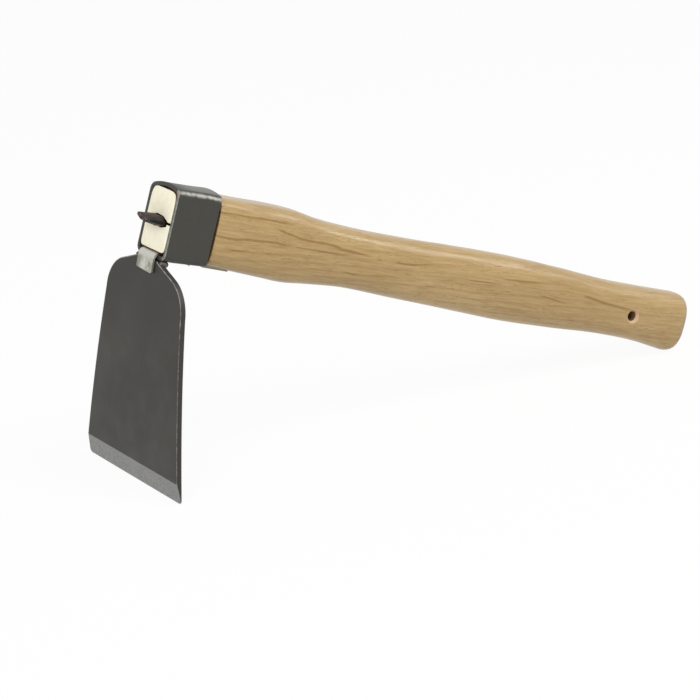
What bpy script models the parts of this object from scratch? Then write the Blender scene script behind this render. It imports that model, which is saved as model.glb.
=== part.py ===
"""Hand mattock: a socketed steel blade wedged on a short waisted wooden handle.

The tool is modelled in its own axes, with +X along the handle from the socket's
front rim to the butt, +Z away from the blade and Y across. An empty then tips it
so that it stands on its cutting edge and its butt, over the world origin.
All lengths are in metres.
"""
import math

import bmesh
import bpy
import numpy as np
from mathutils import Vector

MM = 0.001
GAP = 0.3 * MM

# Socket: a bent band, its crown beaten up round the front rim, its top reaching
# further back than its sides
SOCKET_LENGTH = 27.2 * MM
SOCKET_TOP_REACH = 1.3 * MM
SOCKET_FLARE_LENGTH = 6.0 * MM
SOCKET_WIDTH = 29.7 * MM
SOCKET_FRONT_HEIGHT = 38.5 * MM
SOCKET_REAR_HEIGHT = 38.4 * MM
SOCKET_REAR_LIFT = 0.4 * MM
SOCKET_FRONT_CROWN = 2.7 * MM
SOCKET_REAR_CROWN = 1.7 * MM
SOCKET_WALL = 2.3 * MM
SOCKET_TOP_RADIUS = 3.3 * MM
SOCKET_FLOOR_RADIUS = 2.4 * MM
SOCKET_RIM_BEVEL = 0.3 * MM

# Blade: a bowed plate, measured along its face from the socket's underside
BLADE_LENGTH = 124.8 * MM
BLADE_EDGE_WIDTH = 99.5 * MM
BLADE_SHOULDER_WIDTH = 79.4 * MM
BLADE_SHOULDER_DEPTH = 25.1 * MM
BLADE_SHOULDER_RADIUS = 20.0 * MM
BLADE_THICKNESS = 3.1 * MM
BLADE_EDGE_LAND = 0.4 * MM
BLADE_BEVEL_LENGTH = 11.3 * MM
BLADE_FORWARD = 1.1 * MM
BLADE_TILT_TOP = math.radians(7.2)
BLADE_TILT_EDGE = math.radians(12.0)
NECK_WIDTH = 20.4 * MM
NECK_DEPTH = 0.5 * MM
NECK_FILLET_RADIUS = 0.5 * MM

# Weld in the corners between the blade's neck and the socket's underside
WELD_LEG = 3.4 * MM
WELD_TOE = 1.2 * MM
WELD_SIDE = 4.7 * MM
WELD_SIDE_TAPER = 0.9 * MM

# Handle
HANDLE_REACH = 388.7 * MM
SHOULDER_GAP = 1.8 * MM
SHOULDER_CHAMFER = 1.2 * MM
SHOULDER_TOP_DROP = 0.1 * MM
SHOULDER_BOTTOM_DROP = 0.4 * MM
TENON_TOP_CLEARANCE = 1.1 * MM
TENON_TOP_SQUARENESS = 6.5
TENON_FLOOR_SQUARENESS = 12.0
BUTT_DOME = 10.5 * MM
BUTT_DOME_POWER = 3.0
BUTT_SIDE_POWER = 3.2
HANG_HOLE_DIAMETER = 6.2 * MM
HANG_HOLE_INSET = 47.4 * MM
HANG_HOLE_DROP = 0.9 * MM
HANG_HOLE_COUNTERSINK = 1.8 * MM

# Handle sections after the shoulder: share of the grip's length, drop of the
# middle below the socket's middle, height, width and squareness of the section
GRIP_SECTIONS = (
    (0.059, 1.3 * MM, 39.2 * MM, 29.4 * MM, 4.1),
    (0.116, 2.1 * MM, 40.5 * MM, 29.0 * MM, 3.8),
    (0.159, 3.1 * MM, 40.6 * MM, 27.6 * MM, 3.4),
    (0.202, 4.0 * MM, 37.4 * MM, 26.2 * MM, 3.1),
    (0.274, 4.8 * MM, 34.2 * MM, 25.2 * MM, 2.8),
    (0.375, 6.4 * MM, 34.8 * MM, 24.6 * MM, 2.6),
    (0.489, 7.8 * MM, 36.8 * MM, 24.7 * MM, 2.5),
    (0.618, 9.5 * MM, 38.5 * MM, 24.7 * MM, 2.5),
    (0.733, 10.9 * MM, 36.4 * MM, 24.4 * MM, 2.6),
    (0.848, 12.3 * MM, 32.9 * MM, 25.0 * MM, 2.7),
    (0.934, 13.5 * MM, 33.6 * MM, 25.7 * MM, 2.8),
    (1.000, 15.2 * MM, 36.5 * MM, 26.2 * MM, 2.8),
)

# Kerf and the iron wedge driven into it
KERF_WIDTH = 1.0 * MM
KERF_DEPTH = 25.0 * MM
KERF_DROP = 0.6 * MM
WEDGE_WIDTH = 15.2 * MM
WEDGE_OFFSET = 0.8 * MM
WEDGE_THICKNESS = 5.4 * MM
WEDGE_HEAD_THICKNESS = 4.0 * MM
WEDGE_TIP_THICKNESS = 1.0 * MM
WEDGE_FLAT_SHARE = 0.45
WEDGE_EDGE_SHARE = 0.68
WEDGE_ROLL = math.radians(4.0)
WEDGE_STAND_OUT = 9.8 * MM
WEDGE_DRIVEN = 20.0 * MM
WEDGE_HEAD_RISE = 0.5 * MM

# Retaining strap: down over the neck in front, along the socket's floor and
# out under the wood behind
STRAP_WIDTH = 16.2 * MM
STRAP_THICKNESS = 1.2 * MM
STRAP_LIP_DEPTH = 7.7 * MM
STRAP_LIP_BEND = 3.1 * MM
STRAP_REAR_BEND = 1.3 * MM
STRAP_TAIL_LENGTH = 17.0 * MM
STRAP_TAIL_START_DROP = 0.3 * MM
STRAP_TAIL_END_DROP = 0.8 * MM

# Numbers of facets
ARC_STEPS = 5
CROWN_STEPS = 6
QUARTER_POINTS = 10
GRIP_RINGS = 30
DOME_RINGS = 7
HOLE_SIDES = 24


def lerp(a, b, share):
    return a + (b - a) * share


def socket_floor(x):
    """Height of the socket's outer underside."""
    return lerp(0.0, SOCKET_REAR_LIFT, x / SOCKET_LENGTH)


def socket_side_top(x):
    """Height where the socket's flat side meets the crown."""
    share = min(x / SOCKET_FLARE_LENGTH, 1.0)
    return lerp(SOCKET_FRONT_HEIGHT, SOCKET_REAR_LIFT + SOCKET_REAR_HEIGHT, share)


def crown_rise(x, y):
    """Rise of the socket's crown over its sides, a circular arc across the width."""
    half = SOCKET_WIDTH / 2
    crown = lerp(SOCKET_FRONT_CROWN, SOCKET_REAR_CROWN, min(x / SOCKET_FLARE_LENGTH, 1.0))
    radius = (half * half + crown * crown) / (2 * crown)
    return math.sqrt(radius * radius - y * y) - (radius - crown)


SOCKET_MIDDLE = (SOCKET_REAR_LIFT + socket_side_top(SOCKET_LENGTH)) / 2
INNER_HALF_WIDTH = SOCKET_WIDTH / 2 - SOCKET_WALL
TENON_HALF_WIDTH = INNER_HALF_WIDTH - GAP
STRAP_SEAT = SOCKET_WALL + GAP + STRAP_THICKNESS / 2
SHOULDER_X = SOCKET_LENGTH + SHOULDER_GAP
GRIP_END = HANDLE_REACH - BUTT_DOME
GRIP_LENGTH = GRIP_END - SHOULDER_X


def tenon_bottom(x):
    return socket_floor(x) + STRAP_SEAT + STRAP_THICKNESS / 2 + GAP


def tenon_top(x):
    """Crest of the tenon, below the crest of the socket's inside."""
    return socket_side_top(x) + crown_rise(x, 0.0) - SOCKET_WALL - TENON_TOP_CLEARANCE


KERF_HEIGHT = (tenon_bottom(0.0) + tenon_top(0.0)) / 2 - KERF_DROP


def blade_path(s):
    """Point (x, z) on the blade's front face at the distance s, and the tilt there.

    The plate is bowed, so its tilt grows steadily down to the bevel.
    """
    bow = BLADE_LENGTH - BLADE_BEVEL_LENGTH
    rate = (BLADE_TILT_EDGE - BLADE_TILT_TOP) / bow
    tilt = BLADE_TILT_TOP + rate * min(s, bow)
    radius = 1.0 / rate
    x = radius * (math.cos(BLADE_TILT_TOP) - math.cos(tilt))
    z = -radius * (math.sin(tilt) - math.sin(BLADE_TILT_TOP))
    past = max(s - bow, 0.0)
    return x + past * math.sin(tilt), z - past * math.cos(tilt), tilt


def blade_stations():
    """Pairs of distance and half width down the blade's outline."""
    stations = [(0.0, NECK_WIDTH / 2)]
    centre_s = BLADE_SHOULDER_DEPTH
    centre_y = BLADE_SHOULDER_WIDTH / 2 - BLADE_SHOULDER_RADIUS
    slope = shoulder_slope(centre_s, centre_y)
    tangent = NECK_FILLET_RADIUS * math.tan(slope / 2)
    fillet_y = NECK_WIDTH / 2 + NECK_FILLET_RADIUS
    for i in range(ARC_STEPS + 1):
        turn = slope * i / ARC_STEPS
        s = NECK_DEPTH - tangent + NECK_FILLET_RADIUS * math.sin(turn)
        stations.append((s, fillet_y - NECK_FILLET_RADIUS * math.cos(turn)))
    for i in range(2 * ARC_STEPS + 1):
        turn = slope * (1 - i / (2 * ARC_STEPS))
        s = centre_s - BLADE_SHOULDER_RADIUS * math.sin(turn)
        stations.append((s, centre_y + BLADE_SHOULDER_RADIUS * math.cos(turn)))
    bevel_s = BLADE_LENGTH - BLADE_BEVEL_LENGTH
    below = bevel_s - centre_s
    for i in range(1, ARC_STEPS + 1):
        stations.append(straight_side(centre_s + below * i / ARC_STEPS))
    stations.append(straight_side(BLADE_LENGTH))
    return stations


def shoulder_slope(centre_s, centre_y):
    """Angle from the neck's side to the line that runs from its corner onto the shoulder's arc."""
    down = centre_s - NECK_DEPTH
    out = centre_y - NECK_WIDTH / 2
    return math.atan2(out, down) + math.asin(BLADE_SHOULDER_RADIUS / math.hypot(down, out))


def straight_side(s):
    share = (s - BLADE_SHOULDER_DEPTH) / (BLADE_LENGTH - BLADE_SHOULDER_DEPTH)
    return s, lerp(BLADE_SHOULDER_WIDTH, BLADE_EDGE_WIDTH, share) / 2


def new_object(name, mesh, collection):
    obj = bpy.data.objects.new(name, mesh)
    collection.objects.link(obj)
    return obj


def material(name, colour, roughness, metallic):
    made = bpy.data.materials.new(name)
    made.use_nodes = True
    shader = made.node_tree.nodes["Principled BSDF"]
    shader.inputs["Base Color"].default_value = (*colour, 1.0)
    shader.inputs["Roughness"].default_value = roughness
    shader.inputs["Metallic"].default_value = metallic
    made.diffuse_color = (*colour, 1.0)
    return made


def loft(name, rings, collection):
    """Closed body through rings of equally many points, capped at both ends."""
    bm = bmesh.new()
    loops = [[bm.verts.new(point) for point in ring] for ring in rings]
    count = len(loops[0])
    for first, second in zip(loops, loops[1:]):
        for i in range(count):
            j = (i + 1) % count
            bm.faces.new((first[i], first[j], second[j], second[i]))
    bm.faces.new(loops[0])
    bm.faces.new(loops[-1])
    bmesh.ops.recalc_face_normals(bm, faces=bm.faces)
    mesh = bpy.data.meshes.new(name)
    bm.to_mesh(mesh)
    bm.free()
    return new_object(name, mesh, collection)


def smooth_shade(obj, degrees):
    obj.data.shade_smooth()
    obj.data.set_sharp_from_angle(angle=math.radians(degrees))


def add_solidify(obj, thickness, offset):
    shell = obj.modifiers.new("wall", "SOLIDIFY")
    shell.thickness = thickness
    shell.offset = offset
    shell.use_even_offset = True


def add_bevel(obj, width, segments, degrees):
    edge = obj.modifiers.new("edges", "BEVEL")
    edge.width = width
    edge.segments = segments
    edge.limit_method = "ANGLE"
    edge.angle_limit = math.radians(degrees)


def cut(obj, cutter):
    hollow = obj.modifiers.new("cut " + cutter.name, "BOOLEAN")
    hollow.operation = "DIFFERENCE"
    hollow.solver = "EXACT"
    hollow.object = cutter
    cutter.hide_render = True
    cutter.display_type = "WIRE"


def socket_section(x, reach):
    """Outer outline of the socket at x, round from the middle of its floor, its top set back by reach."""
    half = SOCKET_WIDTH / 2
    floor = socket_floor(x)
    top = socket_side_top(x)
    right = [(x, 0.0, floor)]
    radius = SOCKET_FLOOR_RADIUS
    for i in range(ARC_STEPS + 1):
        turn = math.pi / 2 * i / ARC_STEPS
        across = half - radius + radius * math.sin(turn)
        right.append((x, across, floor + radius - radius * math.cos(turn)))
    radius = SOCKET_TOP_RADIUS
    for i in range(ARC_STEPS + 1):
        turn = math.pi / 2 * i / ARC_STEPS
        across = half - radius + radius * math.cos(turn)
        height = top + crown_rise(x, across) - radius + radius * math.sin(turn)
        right.append((x + reach * i / ARC_STEPS, across, height))
    for i in range(1, CROWN_STEPS):
        across = (half - radius) * (1 - i / CROWN_STEPS)
        right.append((x + reach, across, top + crown_rise(x, across)))
    crest = [(x + reach, 0.0, top + crown_rise(x, 0.0))]
    left = [(x, -y, z) for x, y, z in reversed(right[1:])]
    return right + crest + left


def make_socket(parts):
    """Bent band: an open tube given its wall inwards."""
    bm = bmesh.new()
    rings = []
    for x, reach in ((0.0, 0.0), (SOCKET_FLARE_LENGTH, 0.0), (SOCKET_LENGTH, SOCKET_TOP_REACH)):
        rings.append([bm.verts.new(point) for point in socket_section(x, reach)])
    count = len(rings[0])
    for first, second in zip(rings, rings[1:]):
        for i in range(count):
            j = (i + 1) % count
            bm.faces.new((first[i], second[i], second[j], first[j]))
    bmesh.ops.recalc_face_normals(bm, faces=bm.faces)
    mesh = bpy.data.meshes.new("socket")
    bm.to_mesh(mesh)
    bm.free()
    socket = new_object("socket", mesh, parts)
    add_solidify(socket, SOCKET_WALL, -1.0)
    add_bevel(socket, SOCKET_RIM_BEVEL, 1, 60)
    smooth_shade(socket, 35)
    return socket


def blade_body(name, collection, swell):
    """Plate with rounded shoulders, ground away in front towards its edge."""
    rings = []
    for s, half in blade_stations():
        x, z, tilt = blade_path(s)
        ground = max(s - (BLADE_LENGTH - BLADE_BEVEL_LENGTH), 0.0) / BLADE_BEVEL_LENGTH
        front = (BLADE_THICKNESS - BLADE_EDGE_LAND) * ground - swell
        back = BLADE_THICKNESS + swell
        side = half + swell
        ring = []
        for depth, y in ((front, -side), (front, side), (back, side), (back, -side)):
            ring.append((x + math.cos(tilt) * depth, y, z + math.sin(tilt) * depth))
        rings.append(ring)
    blade = loft(name, rings, collection)
    blade.location = (-BLADE_FORWARD, 0.0, swell - neck_drop())
    smooth_shade(blade, 20)
    return blade


def neck_drop():
    """How far the neck's front corner lies below the socket, so its back corner clears it."""
    return GAP + BLADE_THICKNESS * math.sin(BLADE_TILT_TOP)


def make_weld(parts, cutters):
    """Bead under the socket round the back and both ends of the neck."""
    back = BLADE_THICKNESS * math.cos(BLADE_TILT_TOP) - BLADE_FORWARD
    foot = back + WELD_LEG * math.tan(BLADE_TILT_TOP)
    side = NECK_WIDTH / 2 + WELD_SIDE
    front = GAP - BLADE_FORWARD
    rings = []
    for z, rear, half in ((0.0, back + WELD_LEG, side), (-WELD_LEG, foot + WELD_TOE, side - WELD_SIDE_TAPER)):
        rings.append([(front, -half, z), (rear, -half, z), (rear, half, z), (front, half, z)])
    weld = loft("neck_weld", rings, parts)
    weld.location = (0.0, 0.0, -GAP)
    cut(weld, blade_body("neck_pocket", cutters, GAP))
    return weld


def strap_centre_line():
    """Points (x, z) along the middle of the strap's thickness, lip first."""
    lip_x = -BLADE_FORWARD - GAP - STRAP_THICKNESS / 2
    lip_foot = lip_x + (STRAP_LIP_DEPTH - STRAP_SEAT) * math.sin(BLADE_TILT_TOP)
    bend_x = lip_x + STRAP_LIP_BEND
    bend_z = STRAP_SEAT - STRAP_LIP_BEND
    points = [(lip_foot, -STRAP_LIP_DEPTH)]
    for i in range(ARC_STEPS + 1):
        turn = math.pi / 2 * i / ARC_STEPS
        x = bend_x - STRAP_LIP_BEND * math.cos(turn)
        points.append((x, bend_z + STRAP_LIP_BEND * math.sin(turn)))
    drop_x = SOCKET_LENGTH + GAP + STRAP_THICKNESS / 2
    radius = STRAP_REAR_BEND
    run_z = STRAP_SEAT + SOCKET_REAR_LIFT
    for i in range(ARC_STEPS + 1):
        turn = math.pi / 2 * i / ARC_STEPS
        x = drop_x - radius + radius * math.sin(turn)
        points.append((x, run_z - radius + radius * math.cos(turn)))
    for i in range(1, ARC_STEPS + 1):
        turn = math.pi / 2 * i / ARC_STEPS
        x = drop_x + radius - radius * math.cos(turn)
        points.append((x, radius - radius * math.sin(turn) - STRAP_TAIL_START_DROP))
    points.append((drop_x + radius + STRAP_TAIL_LENGTH, -STRAP_TAIL_END_DROP))
    return points


def strap_body(name, collection, thickness, width, extension):
    """The strap's ribbon with a given thickness, its ends drawn out by the extension."""
    line = [Vector((x, z)) for x, z in strap_centre_line()]
    line[0] += (line[0] - line[1]).normalized() * extension
    line[-1] += (line[-1] - line[-2]).normalized() * extension
    bm = bmesh.new()
    rows = []
    for point in line:
        rows.append([bm.verts.new((point.x, side * width / 2, point.y)) for side in (-1, 1)])
    for first, second in zip(rows, rows[1:]):
        bm.faces.new((first[0], first[1], second[1], second[0]))
    mesh = bpy.data.meshes.new(name)
    bm.to_mesh(mesh)
    bm.free()
    strap = new_object(name, mesh, collection)
    add_solidify(strap, thickness, 0.0)
    return strap


def grip_sections():
    """Handle sections from the shoulder on: x, middle height, height, width, squareness."""
    top = socket_side_top(SOCKET_LENGTH) - SHOULDER_TOP_DROP
    bottom = SOCKET_REAR_LIFT - SHOULDER_BOTTOM_DROP
    rows = [(SHOULDER_X, (top + bottom) / 2, top - bottom, SOCKET_WIDTH - 2 * GAP, GRIP_SECTIONS[0][4])]
    for share, drop, height, width, squareness in GRIP_SECTIONS:
        x = SHOULDER_X + GRIP_LENGTH * share
        rows.append((x, SOCKET_MIDDLE - drop, height, width, squareness))
    return rows


def grip_at(x):
    """Smooth reading of the handle's sections at x, by cubic Hermite pieces."""
    rows = np.array(grip_sections())
    xs = rows[:, 0]
    values = rows[:, 1:]
    slopes = np.gradient(values, xs, axis=0)
    i = int(np.clip(np.searchsorted(xs, x) - 1, 0, len(xs) - 2))
    step = xs[i + 1] - xs[i]
    u = (x - xs[i]) / step
    return ((1 + 2 * u) * (1 - u) ** 2 * values[i] + u * (1 - u) ** 2 * step * slopes[i]
            + u * u * (3 - 2 * u) * values[i + 1] + u * u * (u - 1) * step * slopes[i + 1])


def rounded_ring(x, middle, half_height, half_width, upper, lower):
    """Superellipse across the handle, with its squareness above and below the middle."""
    ring = []
    for i in range(4 * QUARTER_POINTS):
        turn = math.pi / 2 * (i + 0.5) / QUARTER_POINTS
        c = math.cos(turn)
        s = math.sin(turn)
        squareness = upper if s > 0 else lower
        y = math.copysign(abs(c) ** (2 / squareness), c) * half_width
        z = math.copysign(abs(s) ** (2 / squareness), s) * half_height
        ring.append((x, y, middle + z))
    return ring


def tenon_ring(x, station):
    """Section of the tenon at x, sized for the socket's own section at the station."""
    bottom = tenon_bottom(station)
    top = tenon_top(station)
    middle = (bottom + top) / 2
    corners = (TENON_TOP_SQUARENESS, TENON_FLOOR_SQUARENESS)
    return rounded_ring(x, middle, (top - bottom) / 2, TENON_HALF_WIDTH, *corners)


def dome_share(depth, power):
    """Share of the butt's section that is left at a share of the dome's depth."""
    return (1 - depth ** power) ** (1 / power)


def make_handle(parts, cutters):
    """Tenon, shoulder, waisted grip and domed butt in one loft, then its cuts."""
    rings = [tenon_ring(0.0, 0.0)]
    for x in (SOCKET_LENGTH, SHOULDER_X):
        rings.append(tenon_ring(x, SOCKET_LENGTH))
    middle, height, width, squareness = grip_at(SHOULDER_X)
    chamfered = (height / 2 - SHOULDER_CHAMFER, width / 2 - SHOULDER_CHAMFER)
    rings.append(rounded_ring(SHOULDER_X, middle, *chamfered, squareness, squareness))
    start = SHOULDER_X + SHOULDER_CHAMFER
    for i in range(GRIP_RINGS + 1):
        x = lerp(start, GRIP_END, i / GRIP_RINGS)
        middle, height, width, squareness = grip_at(x)
        rings.append(rounded_ring(x, middle, height / 2, width / 2, squareness, squareness))
    for i in range(1, DOME_RINGS + 1):
        depth = math.sin(math.pi / 2 * i / (DOME_RINGS + 0.5))
        half_height = height / 2 * dome_share(depth, BUTT_DOME_POWER)
        half_width = width / 2 * dome_share(depth, BUTT_SIDE_POWER)
        x = GRIP_END + BUTT_DOME * depth
        rings.append(rounded_ring(x, middle, half_height, half_width, squareness, squareness))
    handle = loft("handle", rings, parts)
    cut(handle, make_kerf_cutter(cutters))
    cut(handle, wedge_body("wedge_pocket", cutters, GAP))
    groove = strap_body("strap_groove", cutters, STRAP_THICKNESS + 2 * GAP, STRAP_WIDTH + 2 * GAP, GAP)
    cut(handle, groove)
    cut(handle, make_hang_hole_cutter(cutters))
    smooth_shade(handle, 35)
    return handle


def make_kerf_cutter(cutters):
    """Saw cut across the whole end of the tenon."""
    bm = bmesh.new()
    bmesh.ops.create_cube(bm, size=1.0)
    bmesh.ops.scale(bm, vec=(2 * KERF_DEPTH, 2 * SOCKET_WIDTH, KERF_WIDTH), verts=bm.verts)
    mesh = bpy.data.meshes.new("kerf")
    bm.to_mesh(mesh)
    bm.free()
    kerf = new_object("kerf", mesh, cutters)
    kerf.location = (0.0, 0.0, KERF_HEIGHT)
    return kerf


def make_hang_hole_cutter(cutters):
    """Drill with a broken edge on both sides, turned about the handle's width."""
    x = HANDLE_REACH - HANG_HOLE_INSET
    middle, _, width, _ = grip_at(x)
    radius = HANG_HOLE_DIAMETER / 2
    surface = width / 2
    sink = HANG_HOLE_COUNTERSINK
    past = 2 * sink
    profile = ((radius + sink + past, surface + past), (radius, surface - sink))
    bm = bmesh.new()
    outline = [(0.0, profile[0][1])] + list(profile)
    outline += [(r, -y) for r, y in reversed(outline)]
    verts = [bm.verts.new((r, 0.0, y)) for r, y in outline]
    for first, second in zip(verts, verts[1:]):
        bm.edges.new((first, second))
    mesh = bpy.data.meshes.new("hang_drill")
    bm.to_mesh(mesh)
    bm.free()
    drill = new_object("hang_drill", mesh, cutters)
    turn = drill.modifiers.new("turn", "SCREW")
    turn.steps = HOLE_SIDES
    turn.render_steps = HOLE_SIDES
    turn.use_merge_vertices = True
    turn.merge_threshold = 0.0001 * MM
    drill.location = (x, 0.0, middle - HANG_HOLE_DROP)
    drill.rotation_euler = (math.pi / 2, 0.0, 0.0)
    return drill


def wedge_body(name, collection, swell):
    """Flat iron wedge, thickest where it enters the wood, swollen for its pocket."""
    stations = (
        (-WEDGE_STAND_OUT - swell, WEDGE_HEAD_THICKNESS, WEDGE_HEAD_RISE),
        (-WEDGE_STAND_OUT * 0.4, WEDGE_THICKNESS, WEDGE_HEAD_RISE * 0.4),
        (0.0, WEDGE_THICKNESS, 0.0),
        (WEDGE_DRIVEN + swell, WEDGE_TIP_THICKNESS, 0.0),
    )
    edge = WEDGE_WIDTH / 2 + swell
    flat = edge * WEDGE_FLAT_SHARE
    rings = []
    for x, thickness, rise in stations:
        ring = []
        for side in (-1, 1):
            for across in (-edge, -flat, flat, edge):
                share = WEDGE_EDGE_SHARE if abs(across) == edge else 1.0
                half = thickness / 2 * share + swell
                ring.append((x, -side * across, rise + side * half))
        rings.append(ring)
    wedge = loft(name, rings, collection)
    wedge.location = (0.0, -WEDGE_OFFSET, KERF_HEIGHT)
    wedge.rotation_euler = (WEDGE_ROLL, 0.0, 0.0)
    return wedge


def world_points(objects):
    """Corners of the finished meshes in the world, as one array per object."""
    graph = bpy.context.evaluated_depsgraph_get()
    clouds = []
    for obj in objects:
        shape = obj.evaluated_get(graph)
        mesh = shape.to_mesh()
        clouds.append(np.array([obj.matrix_world @ vertex.co for vertex in mesh.vertices]))
        shape.to_mesh_clear()
    return clouds


def turned(points, tilt):
    """The points tipped about the Y axis."""
    x = points[:, 0] * math.cos(tilt) + points[:, 2] * math.sin(tilt)
    z = points[:, 2] * math.cos(tilt) - points[:, 0] * math.sin(tilt)
    return np.stack((x, points[:, 1], z), axis=1)


def stand_on_edge_and_butt(tool, objects, blade, handle):
    """Tips the tool until its cutting edge and its butt touch one floor, over the origin."""
    clouds = world_points(objects)
    edge = clouds[objects.index(blade)]
    butt = clouds[objects.index(handle)]
    low, high = 0.0, math.pi / 4
    for _ in range(50):
        tilt = (low + high) / 2
        if turned(butt, tilt)[:, 2].min() > turned(edge, tilt)[:, 2].min():
            low = tilt
        else:
            high = tilt
    placed = turned(np.concatenate(clouds), tilt)
    least = placed.min(axis=0)
    most = placed.max(axis=0)
    tool.rotation_euler = (0.0, tilt, 0.0)
    tool.location = (-(least[0] + most[0]) / 2, -(least[1] + most[1]) / 2, -least[2])


def build():
    for obj in list(bpy.data.objects):
        bpy.data.objects.remove(obj)
    parts = bpy.data.collections.new("hand_mattock")
    cutters = bpy.data.collections.new("cutters")
    bpy.context.scene.collection.children.link(parts)
    bpy.context.scene.collection.children.link(cutters)

    coats = (
        material("blade_steel", (0.075, 0.070, 0.062), 0.45, 0.8),
        material("socket_steel", (0.070, 0.068, 0.062), 0.45, 0.8),
        material("weld_steel", (0.16, 0.15, 0.14), 0.6, 0.8),
        material("lacquered_wood", (0.47, 0.32, 0.15), 0.3, 0.0),
        material("forged_iron", (0.055, 0.038, 0.036), 0.6, 0.6),
        material("zinc_plate", (0.55, 0.54, 0.50), 0.35, 1.0),
    )

    socket = make_socket(parts)
    blade = blade_body("blade", parts, 0.0)
    weld = make_weld(parts, cutters)
    handle = make_handle(parts, cutters)
    wedge = wedge_body("kerf_wedge", parts, 0.0)
    strap = strap_body("retaining_strap", parts, STRAP_THICKNESS, STRAP_WIDTH, 0.0)
    objects = [blade, socket, weld, handle, wedge, strap]
    for obj, coat in zip(objects, coats):
        obj.data.materials.append(coat)

    bpy.context.view_layer.update()
    tool = bpy.data.objects.new("tool_axes", None)
    parts.objects.link(tool)
    stand_on_edge_and_butt(tool, objects, blade, handle)
    for obj in objects + list(cutters.objects):
        obj.parent = tool


build()
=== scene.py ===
"""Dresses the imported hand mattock: steel head, oak handle, iron wedge, zinc strap, and a studio."""
import math
from functools import partial

import bmesh
import bpy
import numpy as np
from bpy.props import FloatProperty, FloatVectorProperty, IntProperty, PointerProperty
from mathutils import Matrix, Vector, noise


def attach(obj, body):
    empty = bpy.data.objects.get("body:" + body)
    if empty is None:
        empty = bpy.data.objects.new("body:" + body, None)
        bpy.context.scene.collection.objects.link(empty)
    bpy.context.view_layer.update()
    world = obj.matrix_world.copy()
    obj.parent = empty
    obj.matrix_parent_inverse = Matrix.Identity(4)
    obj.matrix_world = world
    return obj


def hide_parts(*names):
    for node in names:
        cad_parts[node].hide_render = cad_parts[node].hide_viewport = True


bl_info = {
    "name": "Hand mattock",
    "version": (1, 0, 0),
    "blender": (4, 5, 0),
    "location": "3D View > Sidebar > Mattock",
    "description": "Builds the detailed pieces of a hand mattock over its solid model",
    "category": "Object",
}

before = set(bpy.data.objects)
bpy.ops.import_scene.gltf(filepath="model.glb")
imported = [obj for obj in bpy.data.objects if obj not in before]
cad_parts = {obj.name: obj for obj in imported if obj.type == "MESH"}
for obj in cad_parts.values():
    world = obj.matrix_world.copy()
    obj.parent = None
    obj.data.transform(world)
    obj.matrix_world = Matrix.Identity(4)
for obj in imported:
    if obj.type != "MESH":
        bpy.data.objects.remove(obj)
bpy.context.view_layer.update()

MM = 0.001

# Handle sections after the shoulder: share of the grip's length, drop of the
# middle below the socket's middle, height, width and squareness of the section
GRIP_SECTIONS = (
    (0.059, 1.3, 39.2, 29.4, 4.1),
    (0.116, 2.1, 40.5, 29.0, 3.8),
    (0.159, 3.1, 40.6, 27.6, 3.4),
    (0.202, 4.0, 37.4, 26.2, 3.1),
    (0.274, 4.8, 34.2, 25.2, 2.8),
    (0.375, 6.4, 34.8, 24.6, 2.6),
    (0.489, 7.8, 36.8, 24.7, 2.5),
    (0.618, 9.5, 38.5, 24.7, 2.5),
    (0.733, 10.9, 36.4, 24.4, 2.6),
    (0.848, 12.3, 32.9, 25.0, 2.7),
    (0.934, 13.5, 33.6, 25.7, 2.8),
    (1.000, 15.2, 36.4, 26.2, 2.8),
)

# Dark lines of late wood along the near side: x and z of both ends and half the
# line's width, in millimetres from the socket's front lower edge
GRAIN_LINES = (
    (20.0, 18.6, 86.0, 20.4, 0.42),
    (62.0, 20.0, 80.0, 20.5, 0.46),
    (78.0, 20.3, 125.0, 19.2, 0.26),
    (20.0, 30.2, 82.0, 32.0, 0.48),
    (64.0, 27.4, 140.0, 19.4, 0.44),
    (36.0, 13.2, 58.0, 13.4, 0.26),
    (116.0, 11.0, 136.0, 9.0, 0.26),
    (150.0, 19.0, 184.0, 19.9, 0.30),
    (206.0, 13.8, 236.0, 13.6, 0.26),
    (232.0, 17.4, 270.0, 18.6, 0.32),
    (262.0, 10.8, 292.0, 8.4, 0.26),
    (296.0, 15.2, 345.0, 11.0, 0.50),
)

# Middle of the weld bead round the near half of the neck: x and y in millimetres
WELD_PATH = (
    (-0.5, 11.3), (0.8, 12.0), (2.0, 12.3), (3.0, 12.0), (3.5, 10.6),
    (3.7, 8.6), (3.8, 6.0), (3.8, 3.0), (3.8, 0.0),
)

# Points to a quarter of the handle's section, its rings, and columns across the blade's face
QUARTER_POINTS = 24
GRIP_RINGS = 160
FACE_COLUMNS = 23
# Width of the blade's face kept free of wear beside its arrises, and how far down the
# shoulders' arris is worn bright
GUARD = 0.35 * MM
SHOULDER_WEAR_END = 34 * MM
# Wear of the plate's arrises at the neck and below the shoulders
PLATE_WEAR = (0.95, 0.68)
# Polishing and painted highlight of the socket's upper bends: strength, the angle round the bend where they
# peak and their spread in degrees, then the near bend's share at the front and the rear, and the far bend's;
# the near bend gets the stronger painted highlight
POLISH_AND_HIGHLIGHT, POLISH_AND_HIGHLIGHT_AT, POLISH_AND_HIGHLIGHT_SPREAD = 1.07, 40, 26
NEAR_POLISH_AND_HIGHLIGHT = (0.72, 0.95)
FAR_POLISH_AND_HIGHLIGHT = 0.35
# Wear of the socket's rims on the near and the far side, partly a painted reflection that makes the near
# rims lighter
RIM_WEAR_AND_REFLECTION = (0.76, 0.3)
# Length of the wedge's struck end, and how much it is drawn in there
STRUCK = 0.9 * MM
DRAWN_IN = 0.07
# Room round the wedge in its pocket, and beside and over the strap in its groove
POCKET_ROOM = 0.5 * MM
GROOVE_ROOM = (0.35 * MM, 0.33 * MM)
# Distance between the oak's rings, and a wave texture's length at a scale of 1
RING_GAP = 3.4 * MM
WAVE_LENGTH = 0.314
LAMP_AIM = Vector((0.0, 0.0, 0.08))

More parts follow.
